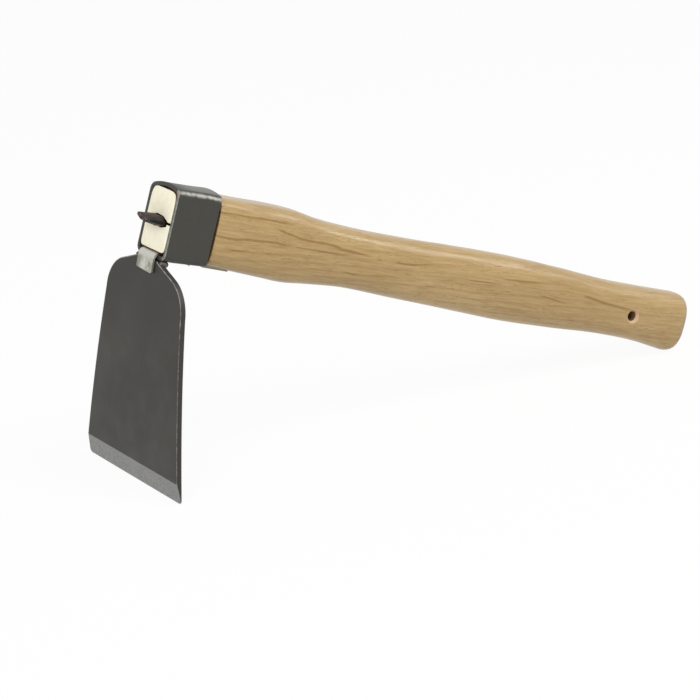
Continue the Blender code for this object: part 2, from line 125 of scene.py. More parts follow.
# Kinds of node, most of them with their settings
TIMES, PLUS, MINUS, OVER, TIMES_PLUS, LARGER, SMALLER, ABSOLUTE, ROOT, FRACTION = (
    ("ShaderNodeMath", {"operation": each}) for each in (
        "MULTIPLY", "ADD", "SUBTRACT", "DIVIDE", "MULTIPLY_ADD", "MAXIMUM", "MINIMUM", "ABSOLUTE", "SQRT",
        "FRACT"))
STRETCH, SHIFT, RESIZE = (
    ("ShaderNodeVectorMath", {"operation": each}) for each in ("MULTIPLY", "ADD", "SCALE"))
BLEND = ("ShaderNodeMix", {"data_type": "RGBA"})
TINT = ("ShaderNodeMix", {"data_type": "RGBA", "blend_type": "MULTIPLY"})
RANGE = "ShaderNodeMapRange"
SOFT_RANGE = (RANGE, {"interpolation_type": "SMOOTHSTEP"})
BUMP = "ShaderNodeBump"
SPLIT = "ShaderNodeSeparateXYZ"
JOIN = "ShaderNodeCombineXYZ"
WEAR, FLANK, DOWN, RUN = (
    ("ShaderNodeAttribute", {"attribute_name": each}) for each in ("wear", "side", "down", "run"))


def linear(code):
    """Linear RGBA of an sRGB hex colour."""
    channels = [int(code[i:i + 2], 16) / 255 for i in (1, 3, 5)]
    values = [c / 12.92 if c <= 0.04045 else ((c + 0.055) / 1.055) ** 2.4 for c in channels]
    return (*values, 1.0)


def size(label, value, about):
    """Property for a length in millimetres."""
    return FloatProperty(name=label, description=about, default=value * MM, unit="LENGTH", precision=4)


def angle(label, degrees, about):
    return FloatProperty(name=label, description=about, default=math.radians(degrees), unit="ROTATION")


def ratio(label, value, about):
    return FloatProperty(name=label, description=about, default=value)


def count(label, value, about):
    return IntProperty(name=label, description=about, default=value, min=1)


def power(label, watts, about):
    return FloatProperty(name=label, description=about, default=watts, unit="POWER")


def colour(label, code, about):
    return FloatVectorProperty(
        name=label, description=about, subtype="COLOR", size=4, min=0.0, max=1.0, default=linear(code))


class ToolPose(bpy.types.PropertyGroup):
    """How the tool's own axes lie in the row frame."""

    tilt: angle("Tilt", 16.962701, "Slope of the handle, butt down, with the tool on its edge and butt")
    origin: FloatVectorProperty(
        name="Origin", description="Middle of the socket's front lower edge", size=3, unit="LENGTH",
        default=(-179.8398 * MM, 0.0, 124.3947 * MM), precision=5)
    gap: size("Gap", 0.3, "Clearance between neighbouring pieces")


class SocketSizes(bpy.types.PropertyGroup):
    """Bent band that grips the handle's tenon."""

    length: size("Length", 27.5, "Of the sides along the handle")
    top_reach: size("Top reach", 1.1, "How much further back the top reaches than the sides")
    flare: size("Flare", 6.0, "Length over which the front is beaten up")
    width: size("Width", 29.7, "Across the flat sides")
    front_height: size("Front height", 38.5, "Of the flat sides at the front")
    rear_height: size("Rear height", 38.4, "Of the flat sides at the rear")
    rear_lift: size("Rear lift", 0.4, "Rise of the floor towards the rear")
    front_crown: size("Front crown", 2.6, "Rise of the top's middle over its sides at the front")
    rear_crown: size("Rear crown", 2.1, "Rise of the top's middle over its sides at the rear")
    lean: size("Lean", 0.65, "How much the near side of the top stands higher")
    wall: size("Wall", 2.3, "Thickness of the band")
    top_radius: size("Top radius", 3.0, "Outer bend between top and sides")
    floor_radius: size("Floor radius", 2.4, "Outer bend between floor and sides at the rear")
    front_radius: size("Front floor radius", 4.2, "Outer bend between floor and sides at the front")
    heel: size("Heel", 1.1, "Rounding of the sides' lower rear corners")
    rim_radius: size("Rim radius", 0.45, "Rounding of the sheared rims")


class BladeSizes(bpy.types.PropertyGroup):
    """Bowed plate under the socket."""

    length: size("Length", 124.8, "Along the face from neck to cutting edge")
    edge_width: size("Edge width", 99.5, "At the cutting edge")
    shoulder_width: size("Shoulder width", 79.4, "Where the shoulders run into the straight sides")
    shoulder_depth: size("Shoulder depth", 25.1, "From the neck to the end of the shoulder's bend")
    shoulder_radius: size("Shoulder radius", 20.0, "Bend of the shoulders")
    thickness: size("Thickness", 3.1, "Of the plate")
    edge_land: size("Edge land", 0.4, "Thickness left at the cutting edge")
    bevel_length: size("Bevel length", 11.3, "Of the ground bevel")
    forward: size("Forward", 1.1, "How far the neck stands in front of the socket's rim")
    tilt_top: angle("Tilt at the neck", 7.2, "Slope of the plate at the neck")
    tilt_edge: angle("Tilt at the edge", 12.0, "Slope of the plate at the bevel")
    neck_width: size("Neck width", 20.4, "Across the neck")
    neck_depth: size("Neck depth", 0.5, "From the socket to the start of the shoulder")
    neck_fillet: size("Neck fillet", 0.5, "Between neck and shoulder")
    corner_radius: size("Corner radius", 2.2, "Worn corners of the cutting edge")
    arris: size("Arris", 0.45, "Rounding along the plate's edges")


class WeldSizes(bpy.types.PropertyGroup):
    """Bead round the neck, and the beads of spatter beside it."""

    bead: size("Bead", 3.6, "Thickness of the bead")
    pitch: size("Pitch", 1.6, "Distance between its ripples")
    ripple: ratio("Ripple", 0.14, "Depth of the ripples as a share of the bead")
    drop: ratio("Drop", 0.42, "Of the bead's middle below the socket, as a share of the bead")
    spatter: count("Spatter", 9, "Number of small beads under the socket")
    spatter_size: size("Spatter size", 0.9, "Width of the largest small bead")
    seed: count("Seed", 11, "Of the spatter's places")
    size_seed: count("Size seed", 3, "Of the spatter's widths")


class HandleSizes(bpy.types.PropertyGroup):
    """Oak handle with its tenon."""

    reach: size("Reach", 388.65, "From the socket's front to the butt")
    shoulder_gap: size("Shoulder gap", 1.6, "Between the socket's sides and the wood's shoulder")
    shoulder_chamfer: size("Shoulder chamfer", 1.5, "Along the shoulder's rim")
    shoulder_top_drop: size("Shoulder top drop", 0.1, "Of the shoulder below the socket's side")
    shoulder_drop: size("Shoulder drop", 0.4, "How far the shoulder stands below the socket")
    tenon_clearance: size("Tenon clearance", 1.1, "Between the tenon and the socket's top")
    tenon_top: ratio("Tenon top squareness", 6.5, "Squareness of the tenon's upper half")
    tenon_floor: ratio("Tenon floor squareness", 12.0, "Squareness of the tenon's lower half")
    tenon_edge: size("Tenon edge", 0.4, "Rounding round the tenon's end")
    dome: size("Dome", 10.5, "Length of the rounded butt")
    dome_power: ratio("Dome power", 3.0, "Fullness of the butt's rounding in height")
    side_power: ratio("Side power", 3.2, "Fullness of the butt's rounding in width")
    waver: size("Waver", 0.15, "Unevenness of the sanded surface")
    hole: size("Hanging hole", 6.2, "Diameter")
    hole_inset: size("Hole inset", 47.4, "From the butt")
    hole_drop: size("Hole drop", 0.9, "Below the handle's middle")
    hole_sink: size("Hole sink", 1.5, "Broken edge round the hole")
    kerf: size("Kerf", 1.4, "Width of the saw cut in the tenon")
    kerf_depth: size("Kerf depth", 25.0, "Of the saw cut")
    kerf_drop: size("Kerf drop", 0.6, "Of the saw cut below the tenon's middle")


class WedgeSizes(bpy.types.PropertyGroup):
    """Forged wedge in the kerf."""

    width: size("Width", 15.2, "Across the kerf")
    offset: size("Offset", 0.8, "To the near side of the middle")
    thickness: size("Thickness", 5.4, "Where it enters the wood")
    head: size("Head thickness", 4.0, "At the struck end")
    tip: size("Tip thickness", 1.0, "At the driven end")
    flat: ratio("Flat share", 0.4, "Share of the width that has the full thickness")
    edge: ratio("Edge share", 0.36, "Thickness of the long edges as a share")
    roll: angle("Roll", 4.0, "Turn about the handle's length")
    stand_out: size("Stand-out", 9.8, "Proud of the end grain")
    driven: size("Driven", 20.0, "Depth in the wood")
    rise: size("Rise", 0.5, "Of the struck end above the kerf")
    dent: size("Dent", 0.34, "Depth of the hammer's marks")
    dent_width: size("Dent width", 2.6, "Across the hammer's marks")
    seed: count("Seed", 5, "Of the hammer's marks")


class StrapSizes(bpy.types.PropertyGroup):
    """Zinc-plated strip under the tenon."""

    width: size("Width", 16.0, "Of the strip")
    thickness: size("Thickness", 1.2, "Of the strip")
    corner: size("Corner", 1.2, "Rounding of the strip's corners")
    slant: size("Slant", 0.35, "How much the lip's near corner hangs lower than its middle")
    lip_depth: size("Lip depth", 7.6, "Of the lip below the socket's floor")
    lip_bend: size("Lip bend", 3.1, "Radius of the bend over the neck")
    rear_bend: size("Rear bend", 1.3, "Radius of the bends behind the socket")
    tail: size("Tail", 17.0, "Length under the wood")
    tail_start: size("Tail start drop", 0.3, "Below the socket's lower edge")
    tail_end: size("Tail end drop", 0.8, "Below the socket's lower edge")


class Finishes(bpy.types.PropertyGroup):
    """Colours of the surfaces."""

    plate: colour("Plate", "#28251F", "Dark oiled plate")
    plate_light: colour("Plate, handled", "#383630", "Plate where hands have thinned the oil")
    plate_side: colour("Plate side", "#2E2B27", "Sheared side of the plate")
    # Worn bare steel; on the band it also colours the painted highlight along the near upper bend and the
    # painted reflection on the near rims
    bare_steel: colour("Bare steel", "#A6A59F", "Arrises worn down to the metal")
    ground_steel: colour("Ground steel", "#939391", "Bevel as it left the grinding belt")
    ground_dark: colour("Ground steel, scratches", "#777776", "Deeper belt marks in the bevel")
    band: colour("Band", "#36352F", "Dark oiled band of the socket")
    band_light: colour("Band, handled", "#3E3D37", "Band where hands have thinned the oil")
    # Painted sheen: the band's top is painted lighter for the light it catches from above, and is partly
    # rubbed
    band_top: colour("Band, top", "#6F6F6A", "Top of the band, rubbed to grey")
    weld: colour("Weld", "#6E6B66", "Weld metal")
    weld_burnt: colour("Weld, burnt", "#3B3833", "Weld metal darkened by its own heat")
    iron: colour("Iron", "#1B1412", "Forge scale of the wedge")
    iron_brown: colour("Iron, brown", "#36261F", "Forge scale that has begun to rust")
    # Painted shadow on the wedge's near end, by the kerf
    iron_oiled: colour("Iron, oiled", "#0D0A09", "Near end of the wedge, where oil has run out of the kerf")
    iron_struck: colour("Iron, struck", "#6B5F58", "Where the hammer has cleaned the iron")
    zinc: colour("Zinc", "#C2C1B5", "Bright zinc plating")
    zinc_dull: colour("Zinc, dull", "#8E8D80", "Stains in the plating")
    # Crystals in the plating, and the painted highlight over the strap's bend
    zinc_bright: colour("Zinc, spangle", "#C8C7BD", "Crystals in the plating, and its bright bend")
    # Painted shade on the strap under the tenon and behind the band
    zinc_shaded: colour("Zinc, shaded", "#867D70", "Oily dirt on the strap between the tenon and the band")
    oak: colour("Oak", "#B49967", "Pale early wood under the lacquer")
    oak_dark: colour("Oak, late wood", "#8A6832", "Dark lines of the rings")
    oak_pore: colour("Oak, pores", "#7E5C30", "Open pores under the lacquer")
    sawn: colour("Sawn oak", "#FFFBE6", "End of the tenon, fresh from the saw")
    sawn_dark: colour("Sawn oak, rings", "#F8EBC8", "Rings in the sawn end")
    sawn_pore: colour("Sawn oak, pores", "#E8D3A6", "Open pores in the sawn end")
    # Painted shade: the tenon's flanks and the shoulder in the gap behind the band are given dark oak
    gap_shade: colour("Stained oak", "#4A311C", "Bore and shoulder, darkened by the drill and by dirt")
    gap_shade_light: colour("Stained oak, light", "#7A5733", "Where the stain is thin")
    bore: colour("Bore", "#8F6C4A", "Drilled oak, grey-brown with handling")
    bore_dark: colour("Bore, dark", "#4F3824", "Dirt in the bore")
    ring: colour("Broken edge", "#C9A984", "Bare wood of the hole's broken edge")
    ring_dark: colour("Broken edge, grain", "#AE8A66", "Grain in the hole's broken edge")


class StudioSettings(bpy.types.PropertyGroup):
    """Camera, lamps and floor."""

    azimuth: angle("Azimuth", -33.9885, "Of the camera, from straight in front")
    elevation: angle("Elevation", 18.9137, "Of the camera above the horizon")
    roll: angle("Roll", -0.549, "Of the camera about its view")
    distance: size("Distance", 1504.4841, "From the tool's origin along the view")
    across: size("Across", 107.644, "Of the camera to the right of the tool's origin")
    above: size("Above", -50.419, "Of the camera over the tool's origin")
    lens: ratio("Lens", 144.0, "Focal length in millimetres")
    sky: ratio("Sky", 0.48, "Strength of the light from all round")
    key: power("Key", 10.0, "Of the large lamp in front")
    top: power("Top", 15.0, "Of the large lamp overhead")
    kicker: power("Kicker", 3.4, "Of the small lamp that lights the butt")
    board: colour("Board", "#E6E6E4", "Matt white floor")
    board_glow: ratio("Board glow", 0.94, "How far the camera sees the floor as plain white")


# Helpers shared by the pieces


def tool():
    """All the sizes and colours of this scene's mattock."""
    return bpy.context.scene.mattock


def lerp(a, b, share):
    return a + (b - a) * share


def clamp(value):
    return min(max(value, 0.0), 1.0)


def arc(start, end, steps):
    """Angles in radians from start to end in degrees, both included."""
    return np.radians(np.linspace(start, end, steps + 1))


def to_row(points):
    """Points in the tool's axes brought into the row frame."""
    pose = tool().pose
    c = math.cos(pose.tilt)
    s = math.sin(pose.tilt)
    x, y, z = np.asarray(points, float).reshape(-1, 3).T
    ox, oy, oz = pose.origin
    return np.stack((x * c + z * s + ox, y + oy, z * c - x * s + oz), axis=1)


def put_in_scene(name, data):
    obj = bpy.data.objects.new(name, data)
    bpy.context.scene.collection.objects.link(obj)
    return obj


def piece(name, rings, closed=False, sharp_degrees=30.0, marks=None):
    """Skin through rings of equally many points in the tool's axes, as an object in the row frame.

    An open row of rings gets a cap at both ends. Marks are named values, one a point,
    that the materials read.
    """
    rings = np.asarray(rings, float)
    rows, columns = rings.shape[:2]
    faces = []
    for i in range(rows if closed else rows - 1):
        first = i * columns
        second = (i + 1) % rows * columns
        for j in range(columns):
            k = (j + 1) % columns
            faces.append((first + j, first + k, second + k, second + j))
    if not closed:
        faces.append(tuple(range(columns)))
        faces.append(tuple(range((rows - 1) * columns, rows * columns)))
    mesh = bpy.data.meshes.new(name)
    mesh.from_pydata(to_row(rings).tolist(), [], faces)
    for label, values in (marks or {}).items():
        layer = mesh.attributes.new(label, "FLOAT", "POINT")
        layer.data.foreach_set("value", np.asarray(values, np.float32).ravel())
    bm = bmesh.new()
    bm.from_mesh(mesh)
    bmesh.ops.recalc_face_normals(bm, faces=bm.faces)
    bm.to_mesh(mesh)
    bm.free()
    obj = put_in_scene(name, mesh)
    smooth(obj, sharp_degrees)
    return obj


def smooth(obj, degrees):
    obj.data.shade_smooth()
    obj.data.set_sharp_from_angle(angle=math.radians(degrees))


def cut(obj, cutter):
    """Takes the cutter's shape out of the object for good."""
    hollow = obj.modifiers.new("cut", "BOOLEAN")
    hollow.operation = "DIFFERENCE"
    hollow.solver = "EXACT"
    hollow.object = cutter
    bake(obj)
    bpy.data.objects.remove(cutter)


def bake(obj):
    """Replaces the mesh by what its modifiers make of it."""
    graph = bpy.context.evaluated_depsgraph_get()
    made = bpy.data.meshes.new_from_object(obj.evaluated_get(graph), depsgraph=graph)
    obj.modifiers.clear()
    obj.data = made


def hand_over(obj, node, slot, *materials):
    """Gives the piece its finish and lets it stand for the CAD node."""
    obj.data.materials.clear()
    for material in materials:
        obj.data.materials.append(material)
    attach(obj, "root")
    if node:
        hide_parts(node)


# Materials


def feed(node, *numbered, **named):
    """Gives a node's inputs, in their order or by name, a constant, a node or one of a node's outputs."""
    by_name = {each.name.replace(" ", "_"): each for each in reversed(list(node.inputs)) if each.enabled}
    for socket, value in [*zip(node.inputs, numbered), *((by_name[label], named[label]) for label in named)]:
        if isinstance(value, bpy.types.Node):
            value = next(each for each in value.outputs if each.enabled)
        if isinstance(value, bpy.types.NodeSocket):
            node.id_data.links.new(value, socket)
        else:
            socket.default_value = value


def add_node(tree, kind, *numbered, **named):
    """Adds a node with its settings and links. A kind is a node's type, alone or with settings."""
    kind, settings = (kind, {}) if isinstance(kind, str) else kind
    node = tree.nodes.new(kind)
    for label, value in settings.items():
        setattr(node, label, value)
    feed(node, *numbered, **named)
    return node


def new_material(name, **constants):
    """Material, what adds nodes to it, and its Principled shader with the plain sockets set at once."""
    material = bpy.data.materials.new(name)
    material.use_nodes = True
    shader = material.node_tree.nodes["Principled BSDF"]
    feed(shader, **constants)
    return material, partial(add_node, material.node_tree), shader


def along_tool(add):
    """Object coordinates turned into the tool's own axes, +X along the handle."""
    pose = tool().pose
    turn = Matrix.Rotation(-pose.tilt, 3, "Y")
    where = add("ShaderNodeTexCoord")
    return add(
        "ShaderNodeMapping", Vector=where.outputs["Object"], Location=turn @ -Vector(pose.origin),
        Rotation=(0.0, -pose.tilt, 0.0))


def patches(add, where, across, low, high, along=1.0, detail=3.0):
    """Share from 0 to 1 of an uneven pattern, where the noise under it rises from low to high.

    Its patches are across millimetres wide and that many times along longer.
    """
    drawn = add(STRETCH, where, (1 / along, 1.0, 1.0))
    cloud = add("ShaderNodeTexNoise", Vector=drawn, Scale=1 / (across * MM), Detail=detail, Roughness=0.55)
    return add(SOFT_RANGE, Value=cloud, From_Min=low, From_Max=high)


def oiled_steel(name, dark, light, side):
    """Hot-rolled steel with its oxide skin, wiped with oil.

    The skin is nearly black, with a soft sheen that whitens at a slant. Hands thin it
    in clouds 25 mm wide, and along its arrises it is worn through to bright steel. The
    side's colour shows where the piece is marked for it: the plate's sheared side, and
    the band's top, where it is a painted sheen of light from above.
    """
    finish = tool().finish
    material, add, shader = new_material(name, Specular_IOR_Level=0.38)
    where = along_tool(add)
    cloud = patches(add, where, 25.0, 0.25, 0.9, detail=4.0)
    place = add(SPLIT, where)
    # Painted shade: the lighter clouds fade towards the top of the plate, so its upper part is darker
    thin = add(SOFT_RANGE, Value=place.outputs["Z"], From_Min=-15 * MM, From_Max=-75 * MM, To_Min=0.25)
    cloud = add(TIMES, cloud, thin)
    grit = patches(add, where, 1.0, 0.3, 0.75)
    tone = add(BLEND, Factor=cloud, A=dark, B=light)
    speck = add(RANGE, Value=grit, To_Min=0.9, To_Max=1.1)
    tone = add(TINT, Factor=1.0, A=tone, B=speck)
    flank = add(FLANK)
    tone = add(BLEND, Factor=flank.outputs["Fac"], A=tone, B=side)
    # On the band the wear mark also carries the painted highlight along its near upper bend and the painted
    # reflection on its near rims
    wear = add(WEAR)
    ragged = patches(add, where, 2.4, 0.2, 0.8, detail=4.0)
    worn = add(TIMES_PLUS, ragged, 0.45, wear.outputs["Fac"])
    bare = add(SOFT_RANGE, Value=worn, From_Min=0.45, From_Max=1.4)
    tone = add(BLEND, Factor=bare, A=tone, B=finish.bare_steel)
    rough = add(RANGE, Value=cloud, To_Min=0.5, To_Max=0.4)
    height = add(PLUS, grit, cloud)
    relief = add(BUMP, Height=height, Strength=0.2, Distance=0.05 * MM)
    feed(shader, Base_Color=tone, Metallic=bare, Roughness=rough, Normal=relief)
    return material


def grind_bevel(material):
    """Lays bright ground steel over the plate below the bevel's upper line.

    The belt left it satin grey, with scratches 0.7 mm apart that run down to the
    edge, and a ragged upper line.
    """
    finish = tool().finish
    b = tool().blade
    add = partial(add_node, material.node_tree)
    shader = material.node_tree.nodes["Principled BSDF"]
    where = along_tool(add)
    line = (b.length - b.bevel_length) / MM
    down = add(DOWN)
    chips = patches(add, where, 2.2, 0.55, 0.85)
    reach = add(PLUS, down.outputs["Fac"], chips)
    ground = add(SOFT_RANGE, Value=reach, From_Min=line - 0.1, From_Max=line + 0.15)
    scratch = add(STRETCH, where, (1.0, 1.0, 0.05))
    scratch = patches(add, scratch, 0.7, 0.3, 0.75)
    metal = add(BLEND, Factor=scratch, A=finish.ground_steel, B=finish.ground_dark)
    oiled = {label: shader.inputs[label].links[0].from_socket for label in ("Base Color", "Metallic")}
    tone = add(BLEND, Factor=ground, A=oiled["Base Color"], B=metal)
    bright = add(LARGER, oiled["Metallic"], ground)
    feed(shader, Base_Color=tone, Metallic=bright)


def weld_metal():
    """Solidified weld bead: grey and glassy, browned by its own heat in patches 3 mm wide."""
    finish = tool().finish
    material, add, shader = new_material("weld_metal", Metallic=0.5)
    where = along_tool(add)
    burn = patches(add, where, 3.0, 0.35, 0.65)
    tone = add(BLEND, Factor=burn, A=finish.weld, B=finish.weld_burnt)
    rough = add(RANGE, Value=burn, To_Min=0.35, To_Max=0.6)
    grit = patches(add, where, 0.7, 0.2, 0.8)
    relief = add(BUMP, Height=grit, Strength=0.4, Distance=0.05 * MM)
    feed(shader, Base_Color=tone, Roughness=rough, Normal=relief)
    return material


def forged_iron():
    """Wrought iron with forge scale: brown-black and matt, mottled 2.5 mm wide, grey where struck.

    Its near end is painted near black, for the shadow it lies in by the kerf.
    """
    finish = tool().finish
    material, add, shader = new_material("forged_iron", Metallic=0.0, Specular_IOR_Level=0.3)
    where = along_tool(add)
    scale = patches(add, where, 2.5, 0.35, 0.68, detail=4.0)
    tone = add(BLEND, Factor=scale, A=finish.iron, B=finish.iron_brown)
    wear = add(WEAR)
    blow = patches(add, where, 1.6, 0.3, 0.75)
    struck = add(PLUS, wear.outputs["Fac"], blow)
    struck = add(SOFT_RANGE, Value=struck, From_Min=1.15, From_Max=1.8, To_Max=0.7)
    tone = add(BLEND, Factor=struck, A=tone, B=finish.iron_struck)
    place = add(SPLIT, where)
    # Painted shadow: the near end darkens to near black
    oil = add(SOFT_RANGE, Value=place.outputs["Y"], From_Min=-5 * MM, From_Max=-8 * MM)
    tone = add(BLEND, Factor=oil, A=tone, B=finish.iron_oiled)
    rough = add(RANGE, Value=scale, To_Min=0.6, To_Max=0.42)
    relief = add(BUMP, Height=scale, Strength=0.5, Distance=0.12 * MM)
    feed(shader, Base_Color=tone, Roughness=rough, Normal=relief)
    return material


def zinc_plating():
    """Electroplated zinc on strip steel: pale and softly bright, with stains 6 mm wide from handling.

    It carries a painted highlight over its bend, and from the run under the tenon on, painted shade darkens
    it.
    """
    finish = tool().finish
    material, add, shader = new_material("zinc_plating", Metallic=0.85)
    where = along_tool(add)
    stain = patches(add, where, 6.0, 0.3, 0.7, detail=2.0)
    spangle = patches(add, where, 3.0, 0.5, 0.75, detail=1.0)
    run = add(RUN)
    tone = add(BLEND, Factor=stain, A=finish.zinc_dull, B=finish.zinc)
    # Painted highlight over the bend, mixed with the spangle
    bend = add(SOFT_RANGE, Value=run.outputs["Fac"], From_Min=6.0, From_Max=8.6)
    glint = add(TIMES, spangle, stain)
    glint = add(LARGER, glint, bend)
    tone = add(BLEND, Factor=glint, A=tone, B=finish.zinc_bright)
    # Painted shade along the strap under the tenon and on its tail
    painted_shade = add(SOFT_RANGE, Value=run.outputs["Fac"], From_Min=10.2, From_Max=11.4)
    tone = add(BLEND, Factor=painted_shade, A=tone, B=finish.zinc_shaded)
    rough = add(RANGE, Value=stain, To_Min=0.5, To_Max=0.3)
    relief = add(BUMP, Height=stain, Strength=0.35, Distance=0.1 * MM)
    feed(shader, Base_Color=tone, Roughness=rough, Normal=relief)
    return material


def ring_lines(add, grain, raised=0.0):
    """Share of the listed lines of late wood at a place in the oak, or of lines raised above them."""
    split = add(SPLIT, grain)
    total = 0.0
    for x0, z0, x1, z1, half in GRAIN_LINES:
        slope = (z1 - z0) / (x1 - x0)
        level = add(TIMES_PLUS, split.outputs["X"], -slope, split.outputs["Z"])
        off = add(ABSOLUTE, add(MINUS, level, (z0 - slope * x0 + raised) * MM))
        line = add(
            SOFT_RANGE, Value=off, From_Min=0.2 * half * MM, From_Max=2.6 * half * MM, To_Min=1.0,
            To_Max=0.0)
        for end, fade in ((x0, 8.0), (x1, -14.0)):
            window = add(
                SOFT_RANGE, Value=split.outputs["X"], From_Min=end * MM, From_Max=(end + fade) * MM)
            line = add(TIMES, line, window)
        total = add(LARGER, line, total)
    return total


def oak(name, light, dark, pore, contrast, blotch=30.0, stain=0.22, **constants):
    """Oak sawn nearly flat: rings as long wavering lines, pores as short dark dashes.

    The rings stand 3.4 mm apart, the fibres 0.5 and 1.4 mm, and the pores are 0.5 mm
    wide, twice the real width, so that they show. Blotches of that many millimetres
    are darker by the stain's share, and the oak darkens over the butt's rounded end.
    """
    material, add, shader = new_material(name, **constants)
    where = along_tool(add)
    drift = patches(add, where, 40.0, 0.2, 0.8, 2.6, 2.0)
    ripple = patches(add, where, 8.0, 0.2, 0.8, 3.0, 2.0)
    lift = add(TIMES_PLUS, drift, 5.0 * MM, -2.9 * MM)
    lift = add(TIMES_PLUS, ripple, 0.9 * MM, lift)
    lift = add(JOIN, Y=lift, Z=lift)
    grain = add(SHIFT, where, lift)
    # The pith lies 34 mm to the far side and 46 mm below the tool's axis, and leans a little
    pith = add(
        "ShaderNodeMapping", Vector=grain, Location=(0.0, -34.0 * MM, 46.0 * MM),
        Rotation=(0.0, 0.03, 0.012))
    rings = add(
        ("ShaderNodeTexWave", {"wave_type": "RINGS", "rings_direction": "X", "wave_profile": "SAW"}),
        Vector=pith, Scale=WAVE_LENGTH / RING_GAP, Distortion=1.6, Detail=2.0, Detail_Scale=0.6,
        Detail_Roughness=0.55)
    late = add(SOFT_RANGE, Value=rings.outputs["Fac"], From_Min=0.4, From_Max=0.98)
    strength = patches(add, where, 18.0, 0.35, 0.7, 5.0, 2.0)
    late = add(TIMES, late, strength)
    streak = patches(add, grain, 1.4, 0.34, 0.7, 24.0)
    fibre = patches(add, grain, 0.5, 0.36, 0.68, 20.0)
    for share, layer in ((0.3, late), (0.34, streak), (0.28, fibre), (0.75, ring_lines(add, grain))):
        total = 0.0 if layer is late else tint
        tint = add(TIMES_PLUS, layer, share * contrast, total)
    tint = add(SMALLER, tint, 1.0)
    tone = add(BLEND, Factor=tint, A=light, B=dark)
    pale = add(TIMES, ring_lines(add, grain, 1.1), 0.4 * contrast)
    tone = add(BLEND, Factor=pale, A=tone, B=light)
    holes = patches(add, grain, 0.5, 0.6, 0.72, 9.0, 1.0)
    crowd = patches(add, grain, 5.0, 0.35, 0.65, 6.0, 1.0)
    holes = add(TIMES, add(TIMES, holes, crowd), 0.75 * contrast)
    tone = add(BLEND, Factor=holes, A=tone, B=pore)
    broad = add(TIMES, patches(add, where, blotch, 0.35, 0.75, 3.0, 1.0), stain)
    tone = add(BLEND, Factor=broad, A=tone, B=dark)
    split = add(SPLIT, where)
    end = tool().handle.reach
    # Darker towards the pore colour over the last millimetres of the butt's rounded end
    butt = add(
        SOFT_RANGE, Value=split.outputs["X"], From_Min=end - 6.4 * MM, From_Max=end - 4.4 * MM,
        To_Max=0.4)
    tone = add(BLEND, Factor=butt, A=tone, B=pore)
    height = add(MINUS, fibre, holes)
    relief = add(BUMP, Height=height, Strength=0.25, Distance=0.06 * MM)
    feed(shader, Base_Color=tone, Normal=relief, Coat_Normal=relief)
    return material


# Socket


def socket_floor(x):
    s = tool().socket
    return lerp(0.0, s.rear_lift, x / s.length)


def socket_side(x):
    """Height where the flat side meets the crown, without the lean."""
    s = tool().socket
    return lerp(s.front_height, s.rear_lift + s.rear_height, clamp(x / s.flare))


def socket_crown(x):
    s = tool().socket
    return lerp(s.front_crown, s.rear_crown, clamp(x / s.flare))


def socket_top(x, y):
    """Height of the outer top: an arc across the width, higher on the near side but for its rear."""
    s = tool().socket
    half = s.width / 2
    crown = socket_crown(x)
    radius = (half * half + crown * crown) / (2 * crown)
    lean = s.lean * (1 - clamp(3 * x / s.length - 2))
    return socket_side(x) + math.sqrt(radius * radius - y * y) - (radius - crown) - lean * y / half


def socket_section(x):
    """Outer outline at the station x as (x, y, z, polish), round from the middle of the floor.

    The top is drawn back towards the rear, and the lower rear corners are rounded.
    The polishing, with a painted highlight, is strongest along the near upper bend and grows towards the
    rear.
    """
    s = tool().socket
    half = s.width / 2
    floor = socket_floor(x)
    bend = lerp(s.front_radius, s.floor_radius, clamp(x / s.flare))
    back = clamp((x - s.flare) / (s.length - s.flare))
    outline = []
    for side in (1, -1):
        points = []
        for y in np.linspace(0.0, half - bend, 9)[:-1]:
            points.append((0.0, y, floor, 0.0))
        for a in arc(0, 90, 8):
            y = half - bend * (1 - math.sin(a))
            points.append((0.0, y, floor + bend * (1 - math.cos(a)), 0.3 * math.sin(2 * a)))
        corner = socket_top(x, side * half) - s.top_radius
        for z in np.linspace(floor + bend, corner, 17)[1:-1]:
            points.append((0.0, half, z, 0.0))
        for a in arc(0, 90, 12):
            y = half - s.top_radius * (1 - math.cos(a))
            z = socket_top(x, side * y) - s.top_radius * (1 - math.sin(a))
            # Painted highlight along the bend, together with its polishing: it peaks part way round the bend
            polish_and_highlight = POLISH_AND_HIGHLIGHT * math.exp(-((math.degrees(a) - POLISH_AND_HIGHLIGHT_AT) / POLISH_AND_HIGHLIGHT_SPREAD) ** 2)
            polish_and_highlight *= lerp(*NEAR_POLISH_AND_HIGHLIGHT, x / s.length) if side < 0 else FAR_POLISH_AND_HIGHLIGHT
            points.append((s.top_reach * back * a / (math.pi / 2), y, z, polish_and_highlight))
        for y in np.linspace(half - s.top_radius, 0.0, 15)[1:]:
            points.append((s.top_reach * back, y, socket_top(x, side * y), 0.0))
        shaped = []
        for shift, y, z, polish_and_highlight in points:
            low = 1 - clamp((z - floor) / s.heel)
            shift -= s.heel * back * (1 - math.sqrt(1 - low * low))
            shaped.append((x + shift, side * y, z, polish_and_highlight))
        outline += shaped if side > 0 else shaped[-2:0:-1]
    return np.array(outline)


def directions(points):
    """Directions along a line of points in a plane, and across it."""
    along = np.gradient(points, axis=0)
    along /= np.linalg.norm(along, axis=1)[:, None]
    return along, np.stack((-along[:, 1], along[:, 0]), axis=1)


def inward(outline, inset):
    """The outline of (y, z) points moved in along its normals."""
    along = np.roll(outline, -1, 0) - np.roll(outline, 1, 0)
    along /= np.linalg.norm(along, axis=1)[:, None]
    normal = np.stack((along[:, 1], -along[:, 0]), axis=1)
    return outline - normal * inset


